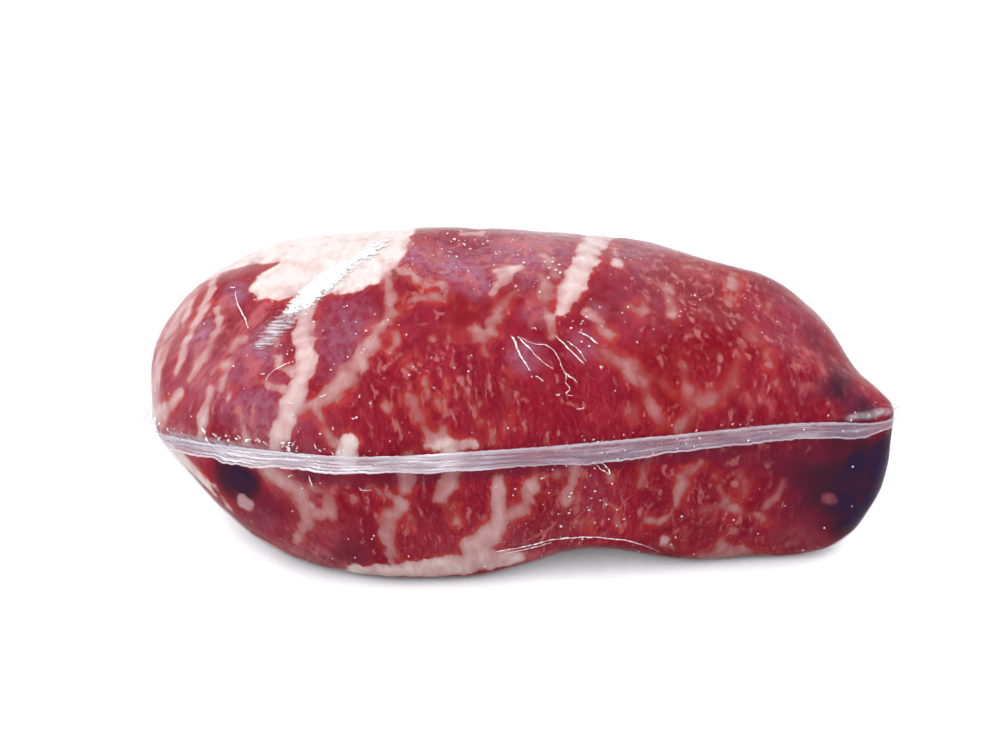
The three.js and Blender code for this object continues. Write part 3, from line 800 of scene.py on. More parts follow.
def frayed(tree, vector, size, amount):
    """A pattern space pushed about by noise, so that what is drawn in it has ragged edges."""
    push = node(tree, "ShaderNodeTexNoise", {"Vector": cells(tree, vector, size, size, size), "Scale": 1.0})
    feeds = {0: push.outputs["Color"], 1: (0.5, 0.5, 0.5)}
    swing = node(tree, "ShaderNodeVectorMath", feeds, operation="SUBTRACT").outputs[0]
    reach = node(tree, "ShaderNodeVectorMath", {0: swing, "Scale": amount * MM}, operation="SCALE").outputs[0]
    return node(tree, "ShaderNodeVectorMath", {0: vector, 1: reach}).outputs[0]


def lean_colour(tree, fibre, rim):
    """Deep red fibre: two reds by muscle, combed by the fibre, with an orange rim along the fat."""
    muscle = step(tree, "cloud", cells(tree, fibre, 7, 13, 13), 3.0)
    lean = step(tree, "mix", step(tree, "ease", muscle, 0.4, 0.62), LEAN, LEAN_LIGHT)
    bright = field(tree, "bright")
    lean = step(tree, "mix", step(tree, "*", bright, 0.85), lean, LEAN_BRIGHT)
    pale = step(tree, "cloud", cells(tree, fibre, 2.0, 3.6, 3.6), 3.0, 0.6)
    washed = step(tree, "ease", bright, 0.0, 1.0, 0.5, 0.2)
    washed = step(tree, "*", step(tree, "ease", pale, 0.48, 0.74), washed)
    lean = step(tree, "mix", washed, lean, LEAN_WASHED)
    comb = step(tree, "cloud", cells(tree, fibre, 0.45, 2.6, 2.6), 2.0, 0.6)
    glow = step(tree, "ease", rim, 1.7, 0.1)
    glow = step(tree, "*", glow, step(tree, "ease", comb, 0.36, 0.64, 0.45, 1.0))
    glow = step(tree, "*", glow, step(tree, "ease", field(tree, "fat_white"), 0.0, 0.6, 0.5, 0.9))
    glow = step(tree, "*", glow, step(tree, "ease", muscle, 0.4, 0.6, 0.35, 1.0))
    lean = step(tree, "mix", glow, lean, LEAN_RIM)
    grain = step(tree, "cloud", cells(tree, fibre, 0.55, 1.1, 1.1), 2.0, 0.7)
    lean = step(tree, "mix", step(tree, "ease", grain, 0.5, 0.72, 0.0, 0.4), lean, LEAN_GRAIN)
    return step(tree, "mix", step(tree, "ease", comb, 0.35, 0.66, 0.0, 0.46), lean, LEAN_COMB)


def grains(tree, fibre, width, length, share):
    """Rice-shaped grains of fat that lie along the fibre, of which a share shows."""
    space = cells(tree, fibre, width, length, length)
    cell = node(tree, "ShaderNodeTexVoronoi", {"Vector": space, "Scale": 1.0})
    luck = node(tree, "ShaderNodeSeparateColor", {0: cell.outputs["Color"]}).outputs[0]
    size = step(tree, "ease", step(tree, "-", share, luck), 0.0, 0.35, -0.1, 0.36)
    return step(tree, "ease", step(tree, "-", cell.outputs["Distance"], size), 0.14, -0.2)


def strokes(tree, fibre, width, length, share):
    """Short soft strokes of fat along the fibre, of many sizes."""
    value = step(tree, "cloud", cells(tree, fibre, width, length, length), 2.0, 0.6)
    limit = step(tree, "*", share, -0.11)
    return step(tree, "ease", step(tree, "-", value, limit), 0.63, 0.78)


def fleck_cover(tree, fibre):
    """How much of the meat's face is fine marbling: grains and strokes along the fibre, and strands between
    the bundles."""
    ragged = frayed(tree, fibre, 1.3, 1.0)
    flecked = field(tree, "flecked")
    patches = step(tree, "cloud", cells(tree, fibre, 3.4, 5.0, 5.0), 2.0, 0.6)
    large = grains(tree, ragged, 1.8, 4.4, step(tree, "*", flecked, 0.5))
    small = grains(tree, ragged, 1.1, 2.6, step(tree, "+", step(tree, "*", flecked, 0.3), 0.07))
    drawn = strokes(tree, ragged, 1.6, 4.2, flecked)
    spots = step(tree, "max", step(tree, "*", large, 0.85), step(tree, "*", small, 0.55))
    spots = step(tree, "max", spots, step(tree, "*", drawn, 0.75))
    spots = step(tree, "*", spots, step(tree, "ease", patches, 0.36, 0.56, 0.55, 1.0))
    edge = step(tree, "wall", cells(tree, ragged, 4.4, 7.0, 7.0))
    thick = step(tree, "*", step(tree, "ease", patches, 0.4, 0.64, 0.02, 0.17), field(tree, "netted"))
    strand = step(tree, "ease", step(tree, "-", edge, thick), 0.01, -0.12, 0.0, 0.65)
    return step(tree, "max", spots, strand)


def fat_colour(tree, white):
    """Firm fat: cream where it is thick, and pink where it is thin and the lean shows through."""
    share = step(tree, "*", step(tree, "+", white, -FAT_THINNEST), 1 / FAT_RANGE)
    made = node(tree, "ShaderNodeValToRGB", {0: share})
    elements = made.color_ramp.elements
    for at, _ in FAT_COLOURS[1:-1]:
        elements.new(at)
    for element, (_, colour) in zip(elements, FAT_COLOURS):
        element.color = linear(colour)
    return made.outputs[0]


def fat_edge(tree, fibre, sprawl, teeth):
    """How far the rim of the fat strays from its band, in millimetres: lobes, bundles and fine teeth."""
    space = cells(tree, frayed(tree, fibre, 1.7, 1.2), 2.8, 3.8, 3.8)
    bundles = offset(tree, step(tree, "cell", space), 0.42, -1.4)
    uneven = step(tree, "+", bundles, offset(tree, teeth, 0.5, 1.1))
    return step(tree, "+", uneven, offset(tree, sprawl, 0.5, 2.0))


def fat_whiteness(tree, rim, mottle, sprawl):
    """How white the fat is: less along its rim, and mottled."""
    white = step(tree, "+", field(tree, "fat_white"), step(tree, "ease", rim, 0.3, -1.6, -0.22, 0.1))
    white = step(tree, "+", white, offset(tree, mottle, 0.5, -0.6))
    return step(tree, "+", white, offset(tree, sprawl, 0.5, -0.8))


def faint_fat(tree, uneven, mottle):
    """How much fat shows from under a little lean."""
    gap = step(tree, "+", field(tree, "faint_gap"), step(tree, "*", uneven, 1.4))
    faint = step(tree, "ease", gap, 1.0, -1.4, 0.0, 0.7)
    return step(tree, "*", faint, step(tree, "ease", mottle, 0.4, 0.62, 0.35, 1.0))


def hazed(tree, tissue, fibre, faint, mottle):
    """Meat under a painted lilac sheen of the film, faint fat and a pale veil of painted light."""
    mist = step(tree, "cloud", cells(tree, fibre, 2.0, 2.8, 2.8), 3.0, 0.6)
    # The film's sheen is painted into the meat here.
    haze = step(tree, "*", field(tree, "painted_film_sheen"), step(tree, "ease", mist, 0.38, 0.62, 0.3, 0.95))
    veil = step(tree, "*", field(tree, "veil"), step(tree, "ease", mottle, 0.38, 0.62, 0.3, 0.95))
    tissue = step(tree, "mix", haze, tissue, PAINTED_LILAC_SHEEN)
    tissue = step(tree, "mix", faint, tissue, FAT_UNDER_LEAN)
    return step(tree, "mix", veil, tissue, PALE_VEIL)


def darkened(tree, tissue, dark_and_shade):
    """Meat from red through brown and grey to navy, where no air has reached it and where shade is painted.
    """
    tissue = step(tree, "mix", step(tree, "ease", dark_and_shade, 0.0, 0.5, 0.0, 0.85), tissue, DARK_BROWN)
    tissue = step(tree, "mix", step(tree, "ease", dark_and_shade, 0.35, 0.8, 0.0, 0.92), tissue, DARK_GREY)
    return step(tree, "mix", step(tree, "ease", dark_and_shade, 0.7, 1.0), tissue, DARK_NAVY)


def marbled_beef():
    """Raw marbled beef, cut with a knife and wet. The eye sees deep red fibre, cream fat with lobed,
    feathered edges, an orange rim where light comes back through the fat, and lilac to navy meat where
    no air has reached it. Painted light lies in its colour too: a lilac sheen of the film, a pale veil
    of light, and shade on the sides that turn away and under the weld."""
    material, tree, output = new_material("raw_marbled_beef")
    fibre = node(tree, "ShaderNodeAttribute", attribute_name="fibre").outputs["Vector"]
    teeth = step(tree, "cloud", cells(tree, fibre, 0.7, 1.5, 1.5), 3.0, 0.65)
    sprawl = step(tree, "cloud", cells(tree, fibre, 4.2, 6.0, 6.0), 1.0)
    mottle = step(tree, "cloud", cells(tree, fibre, 1.5, 3.4, 3.4), 3.0, 0.65)
    uneven = fat_edge(tree, fibre, sprawl, teeth)
    rim = step(tree, "+", field(tree, "fat_gap"), uneven)
    white = fat_whiteness(tree, rim, mottle, sprawl)
    fat = step(tree, "*", step(tree, "ease", rim, 0.35, -0.4), step(tree, "ease", white, -0.5, 0.2, 0.4, 1.0))

    faint = faint_fat(tree, uneven, mottle)
    tissue = hazed(tree, lean_colour(tree, fibre, rim), fibre, faint, mottle)
    flecks = fleck_cover(tree, fibre)
    tissue = step(tree, "mix", flecks, tissue, FINE_MARBLING)
    # The dark field is partly meat that air hasn't reached and partly painted shade.
    dark_and_shade = step(tree, "*", field(tree, "dark_and_shade"), step(tree, "ease", sprawl, 0.3, 0.7, 1.0, 0.8))
    dark_and_shade = step(tree, "*", dark_and_shade, step(tree, "ease", flecks, 0.0, 0.8, 1.0, 0.75))
    cream = step(tree, "mix", step(tree, "*", dark_and_shade, 0.6), fat_colour(tree, white), DARK_FAT)
    colour = step(tree, "mix", fat, darkened(tree, tissue, dark_and_shade), cream)

    height = step(tree, "+", step(tree, "ease", field(tree, "fat_gap"), 0.4, -0.4, 0.0, 0.5), teeth)
    bump = node(tree, "ShaderNodeBump", {"Strength": 0.35, "Distance": 0.16 * MM, "Height": height})
    surface = node(tree, "ShaderNodeBsdfPrincipled", {
        "Base Color": colour, "Roughness": 0.5, "Specular IOR Level": 0.0, "Normal": bump.outputs[0],
        "Subsurface Weight": 0.12, "Subsurface Radius": (1.0, 0.35, 0.25), "Subsurface Scale": 0.8 * MM})
    tree.links.new(surface.outputs[0], output.inputs["Surface"])
    return material


def make_beef(sight):
    """The meat: sunk a little below the film, with a shallow furrow along the rim of each band of fat."""
    mesh = even_skin(*BEEF_MESH)
    places, normals = vertex_array(mesh), vertex_array(mesh, "normal")
    fat, white = fat_fields(sight, places)
    fat = np.maximum(fat, -gap_field(sight, places, LEAN_ISLANDS.values()))
    add_field(mesh, "fat_white", white)
    add_field(mesh, "fat_gap", fat)
    add_field(mesh, "faint_gap", gap_field(sight, places, FAINT_BANDS.values()))
    # The shade the weld throws is painted into the dark field.
    shade = smooth(1 - gap_field(sight, places, WELD_SHADE.values(), False) / SHADE_WIDTH)
    for name, spots in TONES.items():
        tone = tone_field(sight, places, spots, name != "dark_and_shade")
        add_field(mesh, name, np.maximum(tone, SHADE_STRENGTH * shade) if name == "dark_and_shade" else tone)
    fibre = mesh.attributes.new("fibre", "FLOAT_VECTOR", "POINT")
    fibre.data.foreach_set("vector", fibre_field(sight, places).astype(np.float32).ravel())
    furrow = FURROW[0] * np.exp(-((fat / FURROW[1]) ** 2))
    knobs = KNOBS[0] * wander(places, KNOBS[1] * MM, 3)
    sunk = FILM_GAP + (furrow + np.maximum(knobs, -KNOB_LIMIT)) * MM
    move_vertices(mesh, places - normals * sunk[:, None])
    piece = new_piece("beef", mesh, marbled_beef())
    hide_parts("steak")


# ---- the film --------------------------------------------------------------------------------

# A film's gloss: the share head on, the share at a glancing angle, and how steeply it rises to that.
TIGHT_GLOSS = (0.003, 1.12, 7.2)
LIFTED_GLOSS = (0.002, 0.9, 8.5)
FOLD_GLOSS = (0.04, 0.8, 8.5)
WELD_GLOSS = (0.01, 0.6, 8.5)

# The painted white of the glare, the lilac of the wrinkles' painted sheen and of the web's milkiness, the
# glare's dark pits, and the painted white of the folds.
GLARE_WHITE, FILM_LILAC, FILM_PIT, FOLD_GLINT_WHITE = "#fbf8fc", "#cdbfc9", "#6f6470", "#fbf6fb"

FILM_SWELL = (0.08, 3.5)  # the tight film's unevenness: how high and how long, in millimetres
FILM_FOOT = 0.03 * MM  # how far it stays off the table
CROWDING_LEAST = 0.16  # bubbles lie everywhere, at least so thick
CROWDING_FROM, CROWDING_OVER = 2, 4  # millimetres above the table: where they begin, and over what height
LIFT_MARGIN = 1.4  # millimetres of tight film kept round a lifted patch
LIFT = (0.05, 0.4, 1.6)  # how far film stands off, how much more on the bulge, and over what distance
FILM_THICKNESS = 0.03 * MM
WRINKLE_RISE = (0.0, 0.5, 0.87)  # the fine wrinkles lie level, one above another along this


def see_through(tree, output, cover, body, gloss_shares, roughness, bump):
    """A clear sheet: body shows by its cover, and gloss lies over it."""
    head_on, glancing, rise = gloss_shares
    clear = node(tree, "ShaderNodeBsdfTransparent")
    filled = node(tree, "ShaderNodeMixShader", {0: cover, 1: clear.outputs[0], 2: body})
    gloss = node(tree, "ShaderNodeBsdfAnisotropic", {"Roughness": roughness, "Normal": bump})
    facing = node(tree, "ShaderNodeLayerWeight", {"Blend": 0.5, "Normal": bump}).outputs["Facing"]
    share = step(tree, "*", step(tree, "**", facing, rise), glancing)
    share = step(tree, "+ to 1", share, head_on)
    surface = node(tree, "ShaderNodeMixShader", {0: share, 1: filled.outputs[0], 2: gloss.outputs[0]})
    tree.links.new(surface.outputs[0], output.inputs["Surface"])


def clear_shrink_film():
    """Clear polyolefin shrink film, blown thin and drawn tight by heat. The eye sees only its gloss: white
    where it catches a lamp, milky at a glancing angle, and otherwise the meat."""
    material, tree, output = new_material("clear_shrink_film")
    waves = step(tree, "cloud", cells(tree, object_place(tree), 4, 6, 6), 3.0, 0.45)
    bump = node(tree, "ShaderNodeBump", {"Strength": 0.5, "Distance": 0.12 * MM, "Height": waves}).outputs[0]
    clear = node(tree, "ShaderNodeBsdfTransparent").outputs[0]
    see_through(tree, output, 0.0, clear, TIGHT_GLOSS, 0.1, bump)
    return material


def make_film_skin(sight):
    """The film round the meat, a closed skin."""
    mesh = even_skin(*FILM_MESH)
    places, normals = vertex_array(mesh), vertex_array(mesh, "normal")
    places += normals * (FILM_SWELL[0] * MM * wander(places, FILM_SWELL[1] * MM, 7))[:, None]
    places[:, 2] = np.maximum(places[:, 2], FILM_FOOT)
    move_vertices(mesh, places)
    sparkling = CROWDING_LEAST + tone_field(sight, places, SPARKLING, True)
    add_field(mesh, "crowding", sparkling * smooth((places[:, 2] / MM - CROWDING_FROM) / CROWDING_OVER))
    piece = new_piece("film_skin", mesh, clear_shrink_film())
    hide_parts("steak")
    return piece


def painted_glare_streak(tree, place, pits):
    """How much of the bulge is painted as a burnt out highlight: ragged at its rim, and less in the pits."""
    specks = step(tree, "cloud", cells(tree, place, 0.7, 0.7, 0.7), 2.0)
    swells = step(tree, "cloud", cells(tree, place, 2.6, 2.6, 2.6), 1.0)
    gap = step(tree, "+", field(tree, "glare_gap"), offset(tree, specks, 0.5, 3.4))
    gap = step(tree, "+", gap, offset(tree, swells, 0.5, 3.2))
    streak = step(tree, "ease", gap, 0.9, -1.2)
    return step(tree, "*", streak, step(tree, "ease", pits, 0.0, 1.0, 0.92, 0.5))


def brushed_wrinkles(tree, place):
    """Fine level wrinkles, one above another, where a grey lilac sheen is painted."""
    feeds = {0: place, 1: WRINKLE_RISE}
    climb = node(tree, "ShaderNodeVectorMath", feeds, operation="DOT_PRODUCT").outputs["Value"]
    along = node(tree, "ShaderNodeSeparateXYZ", {0: place}).outputs[0]
    level = node(tree, "ShaderNodeCombineXYZ", {0: along, 1: climb}).outputs[0]
    lines = step(tree, "cloud", cells(tree, level, 3.6, 0.5, 1.0), 1.0)
    gap = step(tree, "+", field(tree, "brushed_gap"), offset(tree, lines, 0.5, -3.0))
    brushed = step(tree, "ease", gap, 0.4, -1.6)
    return step(tree, "*", brushed, step(tree, "ease", lines, 0.4, 0.66, 0.12, 0.78))


def milky_web(tree, folds):
    """The lilac milkiness by the weld."""
    web = step(tree, "ease", field(tree, "web_gap"), 0.6, -1.0)
    return step(tree, "*", web, step(tree, "ease", folds, 0.4, 0.64, 0.12, 0.6))


def lifted_shrink_film():
    """Shrink film that stands off the meat: a burnt out streak painted as a highlight, with small dark pits,
    where it faces the light, fine brushed wrinkles with a painted sheen, and a lilac milkiness by the weld."""
    material, tree, output = new_material("lifted_shrink_film")
    place = object_place(tree)
    pits = step(tree, "ease", step(tree, "cloud", cells(tree, place, 0.45, 0.45, 0.45), 1.0), 0.6, 0.66)
    folds = step(tree, "cloud", cells(tree, place, 2.4, 2.4, 0.9), 2.0)
    veiled = step(tree, "max", brushed_wrinkles(tree, place), milky_web(tree, folds))
    # The glare and the wrinkles' sheen are painted highlights.
    cover = step(tree, "max", painted_glare_streak(tree, place, pits), veiled)
    colour = step(tree, "mix", step(tree, "ease", veiled, 0.02, 0.2), GLARE_WHITE, FILM_LILAC)
    colour = step(tree, "mix", step(tree, "*", pits, 0.8), colour, FILM_PIT)
    haze = node(tree, "ShaderNodeBsdfPrincipled", {"Base Color": colour, "Roughness": 0.3})
    bump = node(tree, "ShaderNodeBump", {"Strength": 0.4, "Distance": 0.1 * MM, "Height": folds}).outputs[0]
    see_through(tree, output, cover, haze.outputs[0], LIFTED_GLOSS, 0.15, bump)
    return material


def cut_from_skin(skin, gap):
    """The patches of the skin that lie within the margin, with finer faces."""
    shape = bmesh.new()
    shape.from_mesh(skin.data)
    shape.verts.ensure_lookup_table()
    bmesh.ops.delete(shape, geom=[v for v in shape.verts if gap[v.index] > LIFT_MARGIN], context="VERTS")
    bmesh.ops.subdivide_edges(shape, edges=shape.edges[:], cuts=2, use_grid_fill=True)
    mesh = bpy.data.meshes.new("lifted film")
    shape.to_mesh(mesh)
    shape.free()
    return mesh


def make_lifted_film(sight, skin):
    """The patches of film that stand off the meat, each a thin closed lens on the skin."""
    bands = {"glare_gap": GLARE_BANDS, "brushed_gap": BRUSHED_BANDS, "web_gap": WEB_BANDS}
    every = [band for group in bands.values() for band in group.values()]
    mesh = cut_from_skin(skin, gap_field(sight, vertex_array(skin.data), every, False))
    places, normals = vertex_array(mesh), vertex_array(mesh, "normal")
    least, more, over = LIFT
    lift = least + more * smooth(-gap_field(sight, places, GLARE_BANDS.values(), False) / over)
    places += normals * (lift * MM)[:, None]
    move_vertices(mesh, places)
    for name, group in bands.items():
        add_field(mesh, name, gap_field(sight, places, group.values(), False))
    draft = new_object("draft", mesh)
    sheet = draft.modifiers.new("sheet", "SOLIDIFY")
    sheet.thickness, sheet.offset = FILM_THICKNESS, 1.0
    piece = new_piece("lifted_film", applied(draft), lifted_shrink_film())
    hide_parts("steak")


def film_fold_painted_glint():
    """A sharp fold or bubble in clear film, painted white as its glint: a painted highlight."""
    material, tree, output = new_material("film_fold_painted_glint")
    sparkle = step(tree, "cloud", cells(tree, object_place(tree), 0.8, 0.8, 0.8), 1.0)
    cover = step(tree, "ease", sparkle, 0.38, 0.62, 0.2, 0.92)
    white = node(tree, "ShaderNodeBsdfPrincipled", {"Base Color": FOLD_GLINT_WHITE, "Roughness": 0.15})
    bump = node(tree, "ShaderNodeBump", {"Strength": 0.3, "Distance": 0.1 * MM, "Height": sparkle}).outputs[0]
    see_through(tree, output, cover, white.outputs[0], FOLD_GLOSS, 0.08, bump)
    return material


# ---- small folds and drops, by geometry nodes --------------------------------------------------

FOLD_SIDES = 8
BUBBLE_SHAPE = {"Segments": 6, "Rings": 4, "Radius": 1.0}
BUBBLE_FLATTENING = (1.0, 1.0, 0.6)
BUBBLE_RARITY = 2.4  # the power that makes small bubbles many and large ones few
BUBBLE_PLACES_SEED, BUBBLE_SIZES_SEED = 5, 9
SMALLEST_BUBBLE = 0.05 * MM
# Bubbles to a square metre where they lie thickest, and the largest, on the meat and in the weld.
SKIN_BUBBLES = (130000.0, 0.25 * MM)
FIN_BUBBLES = (80000.0, 0.26 * MM)

CREASE_SEED = 6
CREASE_RISE = 0.05  # how far a crease's middle stands off the film, in millimetres
CREASE_JITTER = 0.4  # how far its points stray, in picture units
CREASE_WIDTHS = (0.35, 0.85)  # its thinnest and thickest, by its half width
LEAST_WIDTH = 0.3  # the least half width drawn, in picture units
DROP_END, DROP_SWELL = 0.5, 1.5  # a drop's width at its ends, and at its middle by its radius
GATHER_SEED = 4
# How the gathers lie: how far in from the weld's root and how wide at their tips, in millimetres, how much
# they rise and run along it, and by their size half their length, their bend and half their width.
GATHER_IN, GATHER_TIP = (0.1, 0.6), 0.05
GATHER_RISE, GATHER_RUN = (0.1, 0.8), (0.2, 1)
GATHER_HALF, GATHER_BEND, GATHER_WIDTH = (0.12, 0.5), (-0.25, 0.25), (0.07, 0.2)


def new_nodes_group(name, numbers):
    """An empty geometry nodes group with a geometry way through and named number inputs."""
    tree = bpy.data.node_groups.new(name, "GeometryNodeTree")
    tree.interface.new_socket("Geometry", in_out="INPUT", socket_type="NodeSocketGeometry")
    tree.interface.new_socket("Geometry", in_out="OUTPUT", socket_type="NodeSocketGeometry")
    for label in numbers:
        tree.interface.new_socket(label, in_out="INPUT", socket_type="NodeSocketFloat")
    return tree, tree.nodes.new("NodeGroupInput"), tree.nodes.new("NodeGroupOutput")


def finish_group(tree, output, geometry, material):
    """Ends a group in real faces with a material."""
    real = node(tree, "GeometryNodeRealizeInstances", {0: geometry})
    painted = node(tree, "GeometryNodeSetMaterial", {0: real.outputs[0], "Material": material})
    tree.links.new(painted.outputs[0], output.inputs[0])


def grown(name, mesh, tree, numbers, material):
    """The mesh that a group grows from a mesh, as a finished piece."""
    draft = new_object("draft", mesh)
    modifier = draft.modifiers.new("grown", "NODES")
    modifier.node_group = tree
    for item in tree.interface.items_tree:
        if item.item_type == "SOCKET" and item.in_out == "INPUT" and item.name in numbers:
            modifier[item.identifier] = numbers[item.name]
    return new_piece(name, applied(draft), material)


def stored_number(tree, name):
    """A stored number of the mesh, for geometry nodes."""
    return node(tree, "GeometryNodeInputNamedAttribute", {"Name": name}, data_type="FLOAT").outputs[0]


def fold_group(material):
    """Thin tapered folds along edges. Each point's width is its stored width."""
    tree, given, output = new_nodes_group("folds along lines", ["Thickness"])
    curve = node(tree, "GeometryNodeMeshToCurve", {0: given.outputs["Geometry"]})
    radius = step(tree, "*", stored_number(tree, "width"), given.outputs["Thickness"])
    sized = node(tree, "GeometryNodeSetCurveRadius", {0: curve.outputs[0], "Radius": radius})
    profile = node(tree, "GeometryNodeCurvePrimitiveCircle", {"Resolution": FOLD_SIDES, "Radius": 1.0})
    swept = node(tree, "GeometryNodeCurveToMesh", {
        "Curve": sized.outputs[0], "Profile Curve": profile.outputs[0], "Fill Caps": True, "Scale": radius})
    finish_group(tree, output, swept.outputs[0], material)
    return tree


def bubble_group(material):
    """Small flattened beads scattered over a mesh, thick where it is stored as crowded."""
    numbers = ["Beads per square metre", "Smallest", "Largest"]
    tree, given, output = new_nodes_group("beads on a skin", numbers)
    density = step(tree, "*", stored_number(tree, "crowding"), given.outputs["Beads per square metre"])
    spread = node(tree, "GeometryNodeDistributePointsOnFaces", {
        "Mesh": given.outputs["Geometry"], "Density": density, "Seed": BUBBLE_PLACES_SEED})
    draw = node(tree, "FunctionNodeRandomValue", {"Seed": BUBBLE_SIZES_SEED}, data_type="FLOAT").outputs[1]
    size = node(tree, "ShaderNodeMapRange", {
        0: step(tree, "**", draw, BUBBLE_RARITY), 3: given.outputs["Smallest"], 4: given.outputs["Largest"]})
    bead = node(tree, "GeometryNodeMeshUVSphere", BUBBLE_SHAPE)
    flat = node(tree, "GeometryNodeTransform", {0: bead.outputs[0], "Scale": BUBBLE_FLATTENING})
    placed = node(tree, "GeometryNodeInstanceOnPoints", {
        "Points": spread.outputs["Points"], "Instance": flat.outputs[0],
        "Rotation": spread.outputs["Rotation"], "Scale": size.outputs[0]})
    finish_group(tree, output, placed.outputs[0], material)
    return tree


def eased_line(band, steps=4):
    """A band of points drawn as a smooth line through them."""
    points = [Vector(p) for p in band]
    line = []
    for i in range(len(points) - 1):
        before, here = points[max(i - 1, 0)], points[i]
        there, after = points[i + 1], points[min(i + 2, len(points) - 1)]
        for k in range(steps):
            t = k / steps
            square = (2 * before - 5 * here + 4 * there - after) * t ** 2
            cube = (3 * here - before - 3 * there + after) * t ** 3
            line.append(0.5 * ((2 * here) + (there - before) * t + square + cube))
    return line + [points[-1]]


def folds_along(name, vertices, edges, widths, material):
    """Tapered folds along lines of points, each as wide as its point says, in millimetres."""
    mesh = bpy.data.meshes.new(name + "_lines")
    mesh.from_pydata(vertices, edges, [])
    add_field(mesh, "width", np.array(widths))
    return grown(name, mesh, fold_group(material), {"Thickness": 1 * MM}, material)


def make_creases(sight, material):
    """The sharp folds of the film, a little restless, and its larger drops, in the painted white of glints.
    """
    draw = random.Random(CREASE_SEED)
    vertices, edges, widths = [], [], []
    drops = [[(u - radius, v, DROP_END), (u, v, DROP_SWELL * radius), (u + radius, v, DROP_END)]
             for u, v, radius in DROPS]
    for band in list(FILM_CREASES.values()) + drops:
        line = eased_line(band)
        first = len(vertices)
        for u, v, width in line:
            astray = draw.uniform(-CREASE_JITTER, CREASE_JITTER), draw.uniform(-CREASE_JITTER, CREASE_JITTER)
            place, normal = sight.face(u + astray[0], v + astray[1])
            vertices.append(place + normal * CREASE_RISE * MM)
            widths.append(draw.uniform(*CREASE_WIDTHS) * max(width, LEAST_WIDTH) / PICTURE_SCALE)
        edges += [(first + k, first + k + 1) for k in range(len(line) - 1)]
    piece = folds_along("film_creases", vertices, edges, widths, material)
    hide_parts("steak")


def make_bubbles(skin, fin, material):
    """Tiny bubbles and drops that the tight film holds, on the meat and in the weld, in the painted white of
    glints.
    """
    group = bubble_group(material)
    sheets = ((skin, "steak", SKIN_BUBBLES), (fin, "film_seam", FIN_BUBBLES))
    for sheet, node_name, (density, largest) in sheets:
        numbers = {"Beads per square metre": density, "Smallest": SMALLEST_BUBBLE, "Largest": largest}
        piece = grown(sheet.name + "_bubbles", sheet.data.copy(), group, numbers, material)
        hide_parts(node_name)


def gather(sight, root, tip, size, low, high, draw):
    """One small fold on the weld, from end to end, on the film."""
    out = (tip - root).normalized()
    up = Vector((0, 0, 1))
    along = out.cross(up)
    middle = root + up * draw.uniform(low, high) * MM - out * draw.uniform(*GATHER_IN) * MM
    rising = up * draw.uniform(*GATHER_RISE)
    running = along * draw.choice((-1, 1)) * draw.uniform(*GATHER_RUN)
    half = (rising + running).normalized() * draw.uniform(*GATHER_HALF) * size * MM
    bend = along * draw.uniform(*GATHER_BEND) * size * MM
    return [sight.tree.find_nearest(p)[0] for p in (middle - half, middle + bend, middle + half)]


def make_gathers(sight, lines, material):
    """Small folds where the film is gathered on to the weld, on its upper side, painted white as glints."""
    roots, tips, _ = lines
    draw = random.Random(GATHER_SEED)
    vertices, edges, widths = [], [], []
    for start, end, count, size, low, high in GATHERS:
        near = np.where((roots[:, 0] > start * MM) & (roots[:, 0] < end * MM))[0]
        for _ in range(count):
            at = draw.choice(list(near))
            first = len(vertices)
            vertices += gather(sight, Vector(roots[at]), Vector(tips[at]), size, low, high, draw)
            edges += [(first, first + 1), (first + 1, first + 2)]
            widths += [GATHER_TIP, draw.uniform(*GATHER_WIDTH) * size, GATHER_TIP]
    piece = folds_along("film_gathers", vertices, edges, widths, material)
    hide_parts("film_seam")


# ---- the weld fin --------------------------------------------------------------------------------

FIN_TURNS = 1440  # directions in which the CAD fin is cut
FIN_ENDS = 0.12  # how much of a cut counts as its root, and as its tip
FIN_STEP = 0.55  # millimetres between sections
# The ribs across its width, as (place, height, width).
FIN_RIBS = ((0.06, 0.20, 0.06), (0.34, 0.10, 0.06), (0.63, 0.12, 0.07), (0.95, 0.15, 0.05))
FIN_WALL = 0.12  # half its thickness between the ribs, millimetres
FIN_COLUMNS = 26
FIN_INWARDS = 0.06  # how far it reaches in past its root, by its width
FIN_TRIM = ((0.12, 5), (0.06, 1.1))  # its uneven trimming: shares of its width, and over what millimetres
FIN_SWAY = ((0.5, 6), (0.12, 0.9))  # how it waves up and down, in millimetres, and over what millimetres
FIN_CLEAR = 0.4  # how milky its clear parts are
FIN_MILKY = (-84, -2)  # from where to where it is milky, along the length in millimetres
FIN_MILKY_FADES = (30, 12)  # millimetres over which the milkiness comes and goes
# The weld's body, its milky parts, and the white of its painted highlight.
WELD_BODY, WELD_MILKY, WELD_GLINT = "#aaa2b6", "#bcb4bf", "#f0ecf5"


